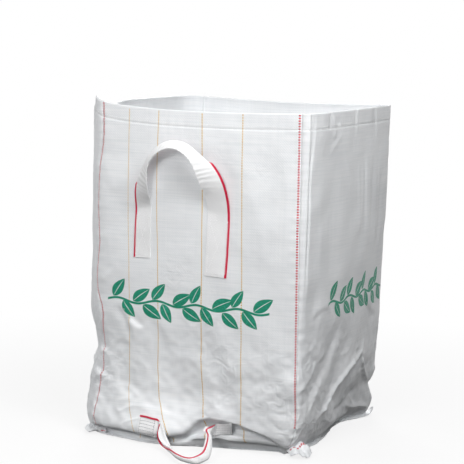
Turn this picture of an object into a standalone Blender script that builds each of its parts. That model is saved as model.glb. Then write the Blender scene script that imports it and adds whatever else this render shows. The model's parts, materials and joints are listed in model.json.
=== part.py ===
"""Garden waste bag of woven polypropylene: an open, square, sewn bag that stands by itself.

One strip of cloth makes the front, the base and the back, and a panel is sewn in at each side.
The rim is hemmed, and webbing straps are sewn on: a carry handle front and back, and a tipping
handle low on the front. Metres, +Z up, front towards -Y, origin at the middle of the base.
"""

import bpy
import numpy as np

# Driving dimensions, in metres
WIDTH = 0.500  # between the left and right folds, about a third of the way up
DEPTH = 0.500  # between the front and back folds, likewise
HEIGHT = 0.714  # floor to rim, where the rim runs level
CLOTH = 0.0010  # the woven cloth with its coating, drawn at four times its thickness
SEAT = 0.0003  # clearance between pieces that touch
PLY_GAP = 0.0009  # clearance between two layers of cloth that lie together
HEM_DEPTH = 0.036
PANEL_GAP = 0.0007  # between the edges of two panels along an upright seam
HEM_GAP = 0.0016  # between the ends of two hems, where a seam comes through
SEAM_ALLOWANCE = 0.012  # cloth left inside each upright seam
BASE_SEAM_WIDTH = 0.010  # cloth left outside each base seam
BASE_SEAM_HEIGHT = 0.006  # where it leaves the wall
BASE_EAR = 0.018  # how much further it stands out at a corner
BASE_EDGE_LIFT = 0.0024  # rise of the base at its edge
BASE_FLAT_SHARE = 0.93  # share of the base that lies flat
SEAM_THICKNESS = 0.0016  # two layers of cloth and the thread

FLARE = 0.010  # how much further out the left and right folds are at the rim than at the floor
BACK_FLARE = 0.034  # the same for the back folds
BACK_DRAW = 0.014  # how far the back folds are drawn in at the floor
BELLY = (0.016, 0.020, 0.014, 0.014)  # swell of front, right, back and left halfway up
RIM_BELLY = 0.35  # share of that swell left at the rim
TOE = 0.040  # swell of the front at the floor
TOE_HEIGHT = 0.110  # height at which that swell has died away
TOE_SHARE = 0.28  # share of it on the back and left
FOOT_FORWARD = 0.045  # how far the front left fold comes forward at the floor
FOOT_FORWARD_HEIGHT = 0.160
DRAW_IN = 0.038  # how far the right side is drawn in at the floor
DRAW_IN_HEIGHT = 0.150
TUCK = 0.020  # how far the cloth turns in under the bag
TUCK_HEIGHT = 0.045  # height at which it starts to turn in
SOFT_FOLD = 0.050  # rounding of the three soft upright folds, measured along each face
SHARP_FOLD = 0.014  # rounding of the pressed fold, front right
WAIST = 0.020  # dent in the front left fold
WAIST_HEIGHT = 0.200
WAIST_SPREAD = 0.042
PINCH = 0.018  # dent in the back right fold
PINCH_HEIGHT = 0.085
PINCH_SPREAD = 0.022

# Each upright seam lies on the front or back, this far in from its fold: at the floor, at the rim
LEFT_SEAM_INSET = (0.022, 0.034)
RIGHT_SEAM_INSET = (0.002, 0.020)
BACK_SEAM_INSET = (0.008, 0.028)

CORNER_LIFT = 0.016  # rise of the rim at the front left corner
RIM_DIP = 0.026  # dip of the rim just round that corner, on the left side
FRONT_SAG = 0.006  # sag of the rim along the front and the back

WEBBING_WIDTH = 0.050
WEBBING = 0.0014  # thickness
HANDLE_SPAN = 0.176  # between the middles of a carry handle's two ends
HANDLE_SHIFT = -0.032  # middle of the handle from the middle of the face, seen from outside
HANDLE_FOOT = 0.112  # length sewn down at each end
HANDLE_DROP = 0.226  # from the rim down to where the sewn ends stop and the handle comes free
HANDLE_RISE = 0.152  # from there to the middle of the strap at the top of the arch
HANDLE_TILT = 64.0  # degrees that the strap stands off the face at the top of the arch
HANDLE_LIES = 0.75  # share of the rise up to which the strap may lie flat against the face

TIP_WEBBING_WIDTH = 0.038  # tipping handle, flat where it is sewn
TIP_LOOP_WIDTH = 0.020  # and folded along its length where it is free
TIP_LOOP_STANDS = 0.60  # share of that width by which the free loop's upper edge stands up
TIP_LEFT = -0.052  # inner end of the left sewn end
TIP_RIGHT = 0.058  # inner end of the right sewn end
TIP_FOOT = 0.044  # length sewn down at each end
TIP_FOOT_HEIGHT = (0.034, 0.040)  # middle of the left and the right sewn end
TIP_HINGE_HEIGHT = 0.030
TIP_SEAT = 0.0007  # clearance at its sewn ends, where the cloth curves two ways
TIP_REACH = 0.100  # how far the free loop lies out from the bag
TIP_LEAN = 0.076  # how far it lies over to the right

FACE_COLUMNS = 14
WRAP_COLUMNS = 4  # columns that take a side panel round a fold to its seam
PANEL_ROWS = 15
SEWN_COLUMNS = 6
STRAP_STEPS = 30

FRONT, RIGHT, BACK, LEFT = range(4)  # a place on the outline is a side plus a share of it


def clear_scene():
    for old in list(bpy.data.objects):
        bpy.data.objects.remove(old, do_unlink=True)
    for old in list(bpy.data.collections):
        bpy.data.collections.remove(old)


def make_material(name, colour, roughness):
    material = bpy.data.materials.new(name)
    material.use_nodes = True
    shader = material.node_tree.nodes["Principled BSDF"]
    shader.inputs["Base Color"].default_value = (*colour, 1.0)
    shader.inputs["Roughness"].default_value = roughness
    shader.inputs["Metallic"].default_value = 0.0
    return material


def bump(height, middle, spread):
    """A bell curve: 1 at the middle, dying away over the spread."""
    return np.exp(-(((height - middle) / spread) ** 2))


def tuck(z):
    """How far the outline has turned in at this height."""
    low = np.clip(1 - z / TUCK_HEIGHT, 0, 1)
    return TUCK * low**2


def fading(z, height):
    """1 at the floor, dying away smoothly to 0 at the height."""
    return np.clip(1 - z / height, 0, 1) ** 1.5


def folds(z):
    """The four upright folds at height z, anticlockwise from the front left: shape (4, 2, ...)."""
    up = z / HEIGHT
    half = WIDTH / 2 - 0.4 * FLARE + FLARE * up - tuck(z)
    front = -DEPTH / 2 + tuck(z)
    back = DEPTH / 2 - BACK_DRAW + BACK_FLARE * up - tuck(z)
    waist = WAIST * bump(z, WAIST_HEIGHT, WAIST_SPREAD)
    pinch = PINCH * bump(z, PINCH_HEIGHT, PINCH_SPREAD)
    forward = FOOT_FORWARD * fading(z, FOOT_FORWARD_HEIGHT)
    return np.array(
        [
            [-half + waist, front - forward],
            [half, front + 0 * z],
            [half - 0.4 * pinch, back - pinch],
            [-half, back],
        ]
    )


def swell(side, share, z):
    """How far the face stands out from the straight line between its folds."""
    across = np.where(side == RIGHT, 4 * share * (1 - share), 1 - (2 * share - 1) ** 4)
    up = np.clip(z / HEIGHT, 0, 1)
    stands = np.array(BELLY)[side] * (RIM_BELLY + (1 - RIM_BELLY) * np.sin(np.pi * up)) * across
    toe = TOE * fading(z, TOE_HEIGHT)
    front_toe = toe * np.sin(np.pi * share**0.8) ** 2
    drawn_in = -DRAW_IN * fading(z, DRAW_IN_HEIGHT) * np.sin(np.pi * share**1.8) ** 2
    other_toe = TOE_SHARE * toe * np.sin(np.pi * share) ** 2
    return stands + np.where(side == FRONT, front_toe, np.where(side == RIGHT, drawn_in, other_toe))


def rounding(along, radius):
    """Share of the two edge directions that carries a point of the sharp corner onto its arc."""
    return np.clip(radius - along, 0, None) ** 2 / (4 * radius)


def outline(place, z):
    """Outer surface of the bag: place runs 0 to 4 round it from the front left fold."""
    place, z = np.broadcast_arrays(np.asarray(place, float) % 4, np.asarray(z, float))
    side = np.floor(place).astype(int) % 4
    share = place - np.floor(place)
    corners = folds(z)
    rows = np.indices(side.shape)

    def corner(step):
        return np.stack([corners[((side + step) % 4, axis, *rows)] for axis in (0, 1)], -1)

    before, start, end, after = corner(-1), corner(0), corner(1), corner(2)

    def direction(a, b):
        step = b - a
        return step / np.linalg.norm(step, axis=-1, keepdims=True)

    length = np.linalg.norm(end - start, axis=-1)
    edge = direction(start, end)
    outward = np.stack([edge[..., 1], -edge[..., 0]], -1)
    radii = np.array([SOFT_FOLD, SHARP_FOLD, SOFT_FOLD, SOFT_FOLD])
    at_start = rounding(share * length, radii[side])
    at_end = rounding((1 - share) * length, radii[(side + 1) % 4])
    flat = (
        start
        + edge * (share * length)[..., None]
        + outward * swell(side, share, z)[..., None]
        + at_start[..., None] * (direction(start, before) + edge)
        + at_end[..., None] * (direction(end, after) - edge)
    )
    return np.concatenate([flat, z[..., None]], -1)


def outward_normal(place, z):
    step, rise = 0.004, 0.002
    z = np.asarray(z, float)
    along = outline(place + step, z) - outline(place - step, z)
    upward = outline(place, z + rise) - outline(place, z - rise)
    normal = np.cross(along, upward)
    return normal / np.linalg.norm(normal, axis=-1, keepdims=True)


def skin(place, z, depth=0.0):
    """The outer surface moved inwards by depth, or outwards where depth is negative."""
    return outline(place, z) - outward_normal(place, z) * depth


def rim_height(place):
    """Top edge of the bag round its outline."""
    place = np.asarray(place, float) % 4
    share = place - np.floor(place)
    face = np.floor(place).astype(int)
    sags = np.isin(face, (FRONT, BACK))
    level = HEIGHT - np.where(sags, FRONT_SAG * np.sin(np.pi * share), 0)
    from_corner = np.minimum(place, 4 - place)
    on_front = place < 2
    lift = CORNER_LIFT * np.exp(-from_corner / 0.09) * np.where(on_front, 1, 0)
    dip = RIM_DIP * bump(place, 3.86, 0.13)
    round_it = np.where(on_front, 0, CORNER_LIFT * np.exp(-from_corner / 0.02))
    return level + lift + round_it - dip


def seam_place(corner, z):
    """Where the upright seam beside a fold lies on the outline at height z."""
    low, high = {
        0: LEFT_SEAM_INSET,
        1: RIGHT_SEAM_INSET,
        2: BACK_SEAM_INSET,
        3: BACK_SEAM_INSET,
    }[corner]
    inset = (low + (high - low) * np.clip(z / HEIGHT, 0, 1)) / WIDTH
    on_next_side = corner in (0, 2)
    return corner + inset if on_next_side else corner - inset


def sheet_object(name, mesh, thickness, offset, material, parent):
    """An open sheet given its thickness by Solidify."""
    mesh.update()
    mesh.shade_smooth()
    mesh.materials.append(material)
    part = bpy.data.objects.new(name, mesh)
    collection.objects.link(part)
    solid = part.modifiers.new("Thickness", "SOLIDIFY")
    solid.thickness = thickness
    solid.offset = offset
    solid.use_even_offset = True
    part.parent = parent
    part.matrix_parent_inverse = parent.matrix_world.inverted()
    return part


def grid_object(name, grid, thickness, offset, material, parent):
    """A sheet through a grid of points."""
    rows, columns = grid.shape[:2]
    number = np.arange(rows * columns).reshape(rows, columns)
    corners = [number[:-1, :-1], number[:-1, 1:], number[1:, 1:], number[1:, :-1]]
    quads = np.stack([c.ravel() for c in corners], -1)
    mesh = bpy.data.meshes.new(name)
    mesh.from_pydata(grid.reshape(-1, 3).tolist(), [], quads.tolist())
    return sheet_object(name, mesh, thickness, offset, material, parent)


def panel_rows(rim):
    """Heights from the floor to the rim, closer together near the floor, where the cloth turns in."""
    share = np.linspace(0, 1, PANEL_ROWS + 1)[:, None]
    return SEAT + (rim - SEAT) * share**1.6


def hem_rows(rim):
    share = np.linspace(0, 1, 3)[:, None]
    return rim - HEM_DEPTH * (1 - share) - SEAT * share


def strip_places(first, last, columns):
    """Evenly spaced places from first to last."""
    return first + (last - first) * np.linspace(0, 1, columns)


def face_places(first, last):
    """Places from seam to seam, closer together at the seams, where the cloth curves most."""
    return first + (last - first) * (0.5 - 0.5 * np.cos(np.linspace(0, np.pi, FACE_COLUMNS + 1)))


def front_places(z, gap):
    left = seam_place(0, z) + gap / 2 / WIDTH
    right = seam_place(1, z) - gap / 2 / WIDTH
    return face_places(left, right)


def back_places(z, gap):
    right = seam_place(2, z) + gap / 2 / WIDTH
    left = seam_place(3, z) - gap / 2 / WIDTH
    return face_places(right, left)


def side_places(corner, z, gap):
    """From one seam, round its fold, along the side and round the next fold to the other seam."""
    start = seam_place(corner, z) + gap / 2 / WIDTH
    end = seam_place((corner + 1) % 4, z) - gap / 2 / WIDTH
    end = end + np.where(end < start, 4, 0)
    fold = np.full_like(end, corner)
    rounded = (SHARP_FOLD if corner == 1 else SOFT_FOLD) / DEPTH
    wrap = np.linspace(0, 1, WRAP_COLUMNS + 1)[:-1]
    first = start + (fold + rounded - start) * wrap
    middle = strip_places(fold + rounded, fold + 1 - SOFT_FOLD / DEPTH, FACE_COLUMNS - 3)
    last = fold + 1 - SOFT_FOLD / DEPTH + (end - fold - 1 + SOFT_FOLD / DEPTH) * (1 - wrap[::-1])
    return np.concatenate([first, middle, last], axis=-1)


PLACES = {
    FRONT: front_places,
    BACK: back_places,
    RIGHT: lambda z, gap: side_places(1, z, gap),
    LEFT: lambda z, gap: side_places(3, z, gap),
}


def wall_grid(face, depth, gap, height_of):
    """Grid of a panel: its columns follow its seams. height_of gives its rows from the rim's height."""
    at_rim = PLACES[face](np.full((1, 1), HEIGHT), gap)
    z = height_of(rim_height(at_rim))
    return skin(PLACES[face](z[:, :1], gap), z, depth)


def add_panels():
    names = {FRONT: "front_panel", RIGHT: "right_side_panel", BACK: "back_panel", LEFT: "left_side_panel"}
    for face, name in names.items():
        grid = wall_grid(face, 0.0, PANEL_GAP, panel_rows)
        grid_object(name, grid, CLOTH, -1, cloth, bag)


def add_hems():
    """The turned-down layer of each hem, lying against the inside of its panel."""
    names = {FRONT: "front_hem", RIGHT: "right_hem", BACK: "back_hem", LEFT: "left_hem"}
    for face, name in names.items():
        grid = wall_grid(face, CLOTH + PLY_GAP, HEM_GAP, hem_rows)
        grid_object(name, grid, CLOTH, -1, cloth, bag)


def add_upright_seams():
    """The seam allowances, standing inside the bag along its four upright seams."""
    names = ("front_left_seam", "front_right_seam", "back_right_seam", "back_left_seam")
    for corner, name in enumerate(names):
        rim = rim_height(seam_place(corner, HEIGHT))
        under_hem = rim - HEM_DEPTH - CLOTH
        z = panel_rows(rim)[:, 0]
        z = np.append(z[(z > TUCK_HEIGHT / 2) & (z < under_hem - CLOTH)], under_hem)
        place = seam_place(corner, z)
        inward = -outward_normal(place, z)
        outer = skin(place, z, CLOTH + PLY_GAP)
        grid = np.stack([outer, outer + inward * SEAM_ALLOWANCE], 1)
        grid_object(name, grid, SEAM_THICKNESS, 0, cloth, bag)


def add_base():
    """The base: one flat face where it stands, its edge drawn up a little inside the walls."""
    level = np.full((1, 1), BASE_EDGE_LIFT)
    walls = [PLACES[face](level, PANEL_GAP)[0] for face in (FRONT, RIGHT, BACK, LEFT)]
    edge = skin(np.concatenate(walls), BASE_EDGE_LIFT, CLOTH + PLY_GAP)
    flat = edge * (BASE_FLAT_SHARE, BASE_FLAT_SHARE, 0)
    count = len(edge)
    mesh = bpy.data.meshes.new("base_panel")
    rim = [(i, (i + 1) % count, count + (i + 1) % count, count + i) for i in range(count)]
    middle = [tuple(range(count, 2 * count))]
    mesh.from_pydata(np.concatenate([edge, flat]).tolist(), [], rim + middle)
    sheet_object("base_panel", mesh, CLOTH, 1, cloth, bag)


def add_base_seams():
    """The seam allowances outside, along the foot of each side, with an ear past each corner."""
    rounded = SOFT_FOLD / DEPTH
    for face, name in ((RIGHT, "right_base_seam"), (LEFT, "left_base_seam")):
        place = PLACES[face](np.full((1, 1), BASE_SEAM_HEIGHT), PANEL_GAP)[0]
        inner = skin(place, BASE_SEAM_HEIGHT, -SEAT - SEAM_THICKNESS / 2)
        out = outward_normal(place, BASE_SEAM_HEIGHT) * (1, 1, 0)
        out /= np.linalg.norm(out, axis=-1, keepdims=True)
        share = place - face
        near_end = np.clip(1 - np.minimum(share, 1 - share) / rounded, 0, 1)[:, None]
        outer = inner + out * (BASE_SEAM_WIDTH + BASE_EAR * near_end**2)
        outer[:, 2] = SEAM_THICKNESS / 2 + SEAT
        grid_object(name, np.stack([inner, outer], 1), SEAM_THICKNESS, 0, cloth, bag)


def smooth_path(points, count):
    """A smooth curve through the points, evenly spaced: a Catmull-Rom spline, resampled."""
    points = np.asarray(points, float)
    ends = [2 * points[0] - points[1], *points, 2 * points[-1] - points[-2]]
    t = np.linspace(0, 1, 16, endpoint=False)[:, None]
    pieces = []
    for a, b, c, d in zip(ends, ends[1:], ends[2:], ends[3:]):
        pieces.append(
            0.5 * (2 * b + (c - a) * t + (2 * a - 5 * b + 4 * c - d) * t**2 + (3 * b - a - 3 * c + d) * t**3)
        )
    dense = np.concatenate([*pieces, points[-1:]])
    run = np.concatenate([[0], np.cumsum(np.linalg.norm(np.diff(dense, axis=0), axis=1))])
    at = np.linspace(0, run[-1], count)
    return np.stack([np.interp(at, run, dense[:, axis]) for axis in range(dense.shape[1])], -1)


def face_place(face, across, z):
    """The outline place that is this far right of the middle of the front or back, seen from outside."""
    corners = folds(np.asarray(z, float))
    start, end = corners[face, 0], corners[(face + 1) % 4, 0]
    wanted = across if face == FRONT else -across
    return face + (wanted - start) / (end - start)


def add_sewn_end(name, face, middle, low, high, half_width, gap):
    """A length of webbing that lies on the face, this gap above its cloth."""
    across = np.linspace(-half_width, half_width, SEWN_COLUMNS) + middle
    z = np.linspace(low, high, SEWN_COLUMNS)[:, None] * np.ones((1, SEWN_COLUMNS))
    place = face_place(face, across[None, :], z)
    grid_object(name, skin(place, z, -gap), WEBBING, 1, webbing, bag)


def add_hinge(name, place):
    empty = bpy.data.objects.new(name, None)
    empty.location = place
    collection.objects.link(empty)
    bpy.context.view_layer.update()
    return empty


def outermost(face, left, right, low, high):
    """The furthest out that the face comes within these limits, along Y."""
    across = np.linspace(left, right, 24)[None, :]
    z = np.linspace(low, high, 24)[:, None] * np.ones((1, 24))
    out = outline(face_place(face, across, z), z)[..., 1]
    return out.min() if face == FRONT else out.max()


def handle_arch():
    """Middle line of a carry handle as (across, up): up one leg, round the arch and down."""
    half = HANDLE_SPAN / 2
    rise = HANDLE_RISE
    left, right = HANDLE_SHIFT - half, HANDLE_SHIFT + half
    return smooth_path(
        [
            (left, SEAT),
            (left + 0.001, 0.30 * rise),
            (left + 0.012, 0.64 * rise),
            (left + 0.034, 0.88 * rise),
            (HANDLE_SHIFT - 0.020, rise),
            (HANDLE_SHIFT + 0.016, 0.97 * rise),
            (right - 0.036, 0.78 * rise),
            (right - 0.012, 0.50 * rise),
            (right - 0.002, 0.24 * rise),
            (right, SEAT),
        ],
        STRAP_STEPS + 1,
    )


def add_carry_handle(face, name):
    """A carry handle: two sewn ends, and the free loop that folds at their tops."""
    half = WEBBING_WIDTH / 2
    left = HANDLE_SHIFT - HANDLE_SPAN / 2
    right = HANDLE_SHIFT + HANDLE_SPAN / 2
    high = HEIGHT - HANDLE_DROP
    low = high - HANDLE_FOOT
    for end, middle in (("left", left), ("right", right)):
        add_sewn_end(f"{name}_{end}_end", face, middle, low, high, half, SEAT)

    out = -1 if face == FRONT else 1
    edge = outermost(face, left - half, right + half, high, high + HANDLE_LIES * HANDLE_RISE)
    hinge_y = edge + out * (SEAT + WEBBING)
    hinge = add_hinge(f"{name}_hinge", (0, hinge_y, high))
    arch = handle_arch()
    along = np.gradient(arch, axis=0)
    along[0], along[-1] = (0, 1), (0, -1)  # cut square where it meets the sewn ends
    along /= np.linalg.norm(along, axis=1, keepdims=True)
    inwards = np.stack([along[:, 1], -along[:, 0]], -1)  # towards the inside of the arch
    share = np.linspace(0, 1, len(arch))
    rolled = np.clip((np.minimum(share, 1 - share) - 0.10) / 0.26, 0, 1)
    tilt = np.radians(HANDLE_TILT) * rolled**2 * (3 - 2 * rolled)
    columns = []
    for side in (-1, 0, 1):
        flat = arch + inwards * (side * half * np.cos(tilt))[:, None]
        off = (side + 1) * half * np.sin(tilt)
        x = flat[:, 0] * (1 if face == FRONT else -1)
        columns.append(np.stack([x, hinge_y + out * off, high + flat[:, 1]], -1))
    grid = np.stack(columns, 1)
    grid_object(f"{name}_loop", grid, WEBBING, -1, webbing, hinge)


def add_tipping_handle():
    """The strap low on the front: its loop lies out on the floor and lifts to tip the bag."""
    half = TIP_WEBBING_WIDTH / 2
    ends = (("left", TIP_LEFT - TIP_FOOT / 2), ("right", TIP_RIGHT + TIP_FOOT / 2))
    for (end, middle), height in zip(ends, TIP_FOOT_HEIGHT):
        name = f"tipping_handle_{end}_end"
        add_sewn_end(name, FRONT, middle, height - half, height + half, TIP_FOOT / 2, TIP_SEAT)

    width = TIP_LOOP_WIDTH
    top = TIP_HINGE_HEIGHT
    hinge_y = outermost(FRONT, TIP_LEFT, TIP_RIGHT, top, TOE_HEIGHT / 2) - SEAT - WEBBING
    hinge = add_hinge("tipping_handle_hinge", (0, hinge_y, top))
    standing = TIP_LOOP_STANDS * width / 2
    floor = standing + WEBBING + SEAT

    def on_cloth(across):
        return skin(face_place(FRONT, across, top), top, -TIP_SEAT - WEBBING / 2).reshape(3)

    left_across = TIP_LEFT + TIP_SEAT + width / 2
    right_across = TIP_RIGHT - TIP_SEAT - width / 2
    left, left_y, _ = on_cloth(left_across)
    right, right_y, _ = on_cloth(right_across)
    middle = (left + right) / 2 + TIP_LEAN
    line = smooth_path(
        [
            (left, left_y - hinge_y, top),
            (left + 0.004, -0.014, 0.70 * top),
            (left + 0.014, -0.030, 0.42 * top),
            (left + 0.034, -0.60 * TIP_REACH, floor),
            (middle - 0.026, -0.93 * TIP_REACH, floor),
            (middle + 0.002, -TIP_REACH, floor),
            (middle + 0.016, -0.86 * TIP_REACH, floor),
            (middle + 0.010, -0.55 * TIP_REACH, 0.34 * top),
            (right + 0.016, -0.030, 0.62 * top),
            (right + 0.004, -0.010, 0.86 * top),
            (right, right_y - hinge_y, top),
        ],
        STRAP_STEPS + 1,
    )
    line[:, 1] += hinge_y
    line[:, 2] = np.maximum(line[:, 2], floor)
    along = np.gradient(line, axis=0)
    along /= np.linalg.norm(along, axis=1, keepdims=True)
    inward = np.stack([-along[:, 1], along[:, 0], 0 * along[:, 0]], -1)
    inward /= np.linalg.norm(inward, axis=1, keepdims=True) + 1e-9
    leaning = inward * np.sqrt(1 - TIP_LOOP_STANDS**2) + np.array([0, 0, TIP_LOOP_STANDS])
    share = np.linspace(0, 1, len(line))[:, None]
    lies = np.clip((np.minimum(share, 1 - share)) / 0.16, 0, 1) ** 1.5
    left_edges = on_cloth(left_across + width / 2) - on_cloth(left_across - width / 2)
    right_edges = on_cloth(right_across - width / 2) - on_cloth(right_across + width / 2)
    sewn = np.where(share < 0.5, left_edges, right_edges) / width
    across = sewn * (1 - lies) + leaning * lies
    across /= np.linalg.norm(across, axis=1, keepdims=True)
    grid = np.stack([line + across * width / 2, line - across * width / 2], 1)
    grid_object("tipping_handle_loop", grid, WEBBING, 0, webbing, hinge)


clear_scene()
collection = bpy.data.collections.new("garden_waste_bag")
bpy.context.scene.collection.children.link(collection)
cloth = make_material("woven_polypropylene", (0.80, 0.81, 0.82), 0.45)
webbing = make_material("polypropylene_webbing", (0.90, 0.90, 0.90), 0.60)
bag = add_hinge("bag", (0, 0, 0))
add_panels()
add_hems()
add_upright_seams()
add_base()
add_base_seams()
add_carry_handle(FRONT, "front_handle")
add_carry_handle(BACK, "back_handle")
add_tipping_handle()
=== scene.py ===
import json

import bpy
import numpy as np
from mathutils import Matrix


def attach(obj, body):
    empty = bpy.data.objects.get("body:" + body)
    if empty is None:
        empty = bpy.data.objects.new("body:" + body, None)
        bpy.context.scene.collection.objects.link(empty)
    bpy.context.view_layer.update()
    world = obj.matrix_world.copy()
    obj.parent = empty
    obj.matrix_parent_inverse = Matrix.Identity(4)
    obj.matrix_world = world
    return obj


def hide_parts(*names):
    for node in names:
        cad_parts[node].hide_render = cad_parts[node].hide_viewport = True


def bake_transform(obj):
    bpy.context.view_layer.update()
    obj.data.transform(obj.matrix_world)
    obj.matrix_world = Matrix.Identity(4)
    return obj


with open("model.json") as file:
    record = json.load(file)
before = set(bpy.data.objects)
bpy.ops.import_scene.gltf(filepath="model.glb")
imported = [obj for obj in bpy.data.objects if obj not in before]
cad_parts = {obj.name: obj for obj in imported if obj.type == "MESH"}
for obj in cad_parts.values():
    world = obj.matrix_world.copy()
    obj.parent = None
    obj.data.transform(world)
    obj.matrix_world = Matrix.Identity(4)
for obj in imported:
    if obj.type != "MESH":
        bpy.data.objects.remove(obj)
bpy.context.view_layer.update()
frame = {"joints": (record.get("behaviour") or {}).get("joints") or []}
bpy.context.scene.view_settings.view_transform = "Standard"
print("frame loaded")

# Camera at the photograph's angle
viewPoint = {
    "azimuth": 24.0,  # degrees round from the front
    "pitch": 7.0,
    "roll": 1.47,
    "distance": 4.0,
    "target": (-0.024, 0.0, 0.428),
    "focalPixels": 1797,
    "picturePixels": 464,
    "sensor": 36.0,
}


def addCamera():
    # azimuth and pitch give the way from the target back to the camera, and roll turns its two other axes
    azimuth, pitch, roll = (np.radians(viewPoint[name]) for name in ("azimuth", "pitch", "roll"))
    backward = np.array([np.sin(azimuth) * np.cos(pitch), -np.cos(azimuth) * np.cos(pitch), np.sin(pitch)])
    sideways = np.array([np.cos(azimuth), np.sin(azimuth), 0])
    upward = np.cross(backward, sideways)
    turnedSide = sideways * np.cos(roll) + upward * np.sin(roll)
    turnedUp = upward * np.cos(roll) - sideways * np.sin(roll)
    stand = np.array(viewPoint["target"]) + backward * viewPoint["distance"]
    matrix = np.eye(4)
    matrix[:3] = np.stack([turnedSide, turnedUp, backward, stand], 1)
    data = bpy.data.cameras.new("camera")
    data.sensor_width = viewPoint["sensor"]
    data.lens = viewPoint["focalPixels"] * viewPoint["sensor"] / viewPoint["picturePixels"]
    camera = bpy.data.objects.new("camera", data)
    camera.matrix_world = Matrix(matrix.tolist())
    bpy.context.scene.collection.objects.link(camera)
    bpy.context.scene.camera = camera


addCamera()
print("camera placed")

front, right, back, left = 0, 1, 2, 3  # a place on the outline is a side plus a share of it

# The bag as it stands, in metres: the same shape as the CAD panels
bagShape = {
    "width": 0.500,
    "depth": 0.500,
    "height": 0.714,
    "bellies": (0.013, 0.020, 0.014, 0.019),  # swell of front, right, back and left halfway up
    "rimBelly": (0.35, 0.35, 0.35, 0.80),  # share of it left at the rim
    "flare": 0.010,
    "backFlare": 0.034,
    "backDraw": 0.014,
    "toe": (0.040, 0.110),  # swell of the front at the floor, and the height that it reaches
    "toeShare": (1, 0, 0.28, -0.02),  # share of it on front, right, back and left
    "footForward": (0.037, 0.160),  # how far the front left corner comes forward at the floor, and up to where
    # how far the front right corner goes in at the floor, up to where, how far it comes out there, and the spread
    "footIn": (0.016, 0.075, 0.003, 0.060),
    "drawIn": (0.038, 0.150),  # how far the right side is drawn in at the floor, and up to where
    "tuck": (0.020, 0.045),  # how far all four folds are turned in at the floor, and up to where
    "softFold": 0.050,
    "sharpFold": 0.014,
    "waist": (0.020, 0.200, 0.042),  # dent in the front left fold: depth, height, spread
    "pinch": (0.018, 0.085, 0.022),  # dent in the back right fold
    # height and distance from its fold of each upright seam, in millimetres
    "seams": (
        (
            *((0, 18), (43, 22), (91, 26), (147, 31), (172, 20), (204, 12), (236, 26), (262, 37), (286, 33)),
            *((318, 20), (375, 20), (420, 26), (454, 21), (497, 18), (545, 19), (596, 25), (642, 34), (730, 33)),
        ),
        ((0, 2), (160, 6), (330, 10), (530, 15), (730, 20)),
        ((0, 8), (250, 15), (500, 22), (730, 28)),
        ((0, 8), (250, 15), (500, 22), (730, 28)),
    ),
    "cornerLift": (0.016, 0.09, 0.02),  # of the rim at the front left, and how fast it ends on the front and the left
    "rimDip": (0.026, 3.86, 0.13),  # depth, place and spread
    "frontSag": 0.006,
}


def smoothStep(value, start=0, over=1):
    # 3 t squared less 2 t cubed, with t the distance from the start as a share of the length that it grows over,
    # held between 0 and 1; with a length below 0 it grows backwards from the start
    t = np.clip((value - start) / over, 0, 1)
    return t * t * (3 - 2 * t)


def bell(value, middle, spread):
    # e to the minus square of the distance from the middle over the spread
    return np.exp(-(((value - middle) / spread) ** 2))


def unit(vectors):
    # the same directions, one long
    return vectors / np.linalg.norm(vectors, axis=-1, keepdims=True)


def runAlong(points):
    # the distance of each point from the first one, along the line through them
    return np.concatenate([[0], np.cumsum(np.linalg.norm(np.diff(points, axis=0), axis=1))])


def nearFloor(z, depth, reach, power):
    # the depth at the floor, falling by this power of what is left of the reach
    return depth * np.clip(1 - z / reach, 0, 1) ** power


def foldCorners(z):
    # the four upright folds at height z: straight flaring lines, turned in near the floor and dented twice
    shape = bagShape
    up = z / shape["height"]
    turned = nearFloor(z, *shape["tuck"], 2)
    half = shape["width"] / 2 - 0.4 * shape["flare"] + shape["flare"] * up - turned
    near = -shape["depth"] / 2 + turned
    far = shape["depth"] / 2 - shape["backDraw"] + shape["backFlare"] * up - turned
    forward = nearFloor(z, *shape["footForward"], 1.5)
    inwards, until, outwards, spread = shape["footIn"]
    footIn = nearFloor(z, inwards, until, 1.3) - outwards * bell(z, until, spread)
    waist = shape["waist"][0] * bell(z, *shape["waist"][1:])
    pinch = shape["pinch"][0] * bell(z, *shape["pinch"][1:])
    frontCorners = [[-half + waist, near - forward], [half - footIn, near + 0 * z]]
    return np.array(frontCorners + [[half - 0.4 * pinch, far - pinch], [-half, far]])


def faceSwell(side, share, z):
    # a face stands out by a bow: 1 less the fourth power across (the square on the right), a half sine up,
    # and the front pushed out and the right side drawn in near the floor
    shape = bagShape
    across = np.where(side == right, 4 * share * (1 - share), 1 - (2 * share - 1) ** 4)
    up = np.clip(z / shape["height"], 0, 1)
    atRim = np.array(shape["rimBelly"])[side]
    bow = np.array(shape["bellies"])[side] * (atRim + (1 - atRim) * np.sin(np.pi * up))
    bow = bow * across
    toe = nearFloor(z, *shape["toe"], 1.5) * np.array(shape["toeShare"])[side]
    drawn = nearFloor(z, *shape["drawIn"], 1.5)
    atFoot = np.where(side == front, toe * np.sin(np.pi * share**0.8) ** 2, toe * np.sin(np.pi * share) ** 2)
    return bow + np.where(side == right, -drawn * np.sin(np.pi * share**1.8) ** 2, atFoot)


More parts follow.
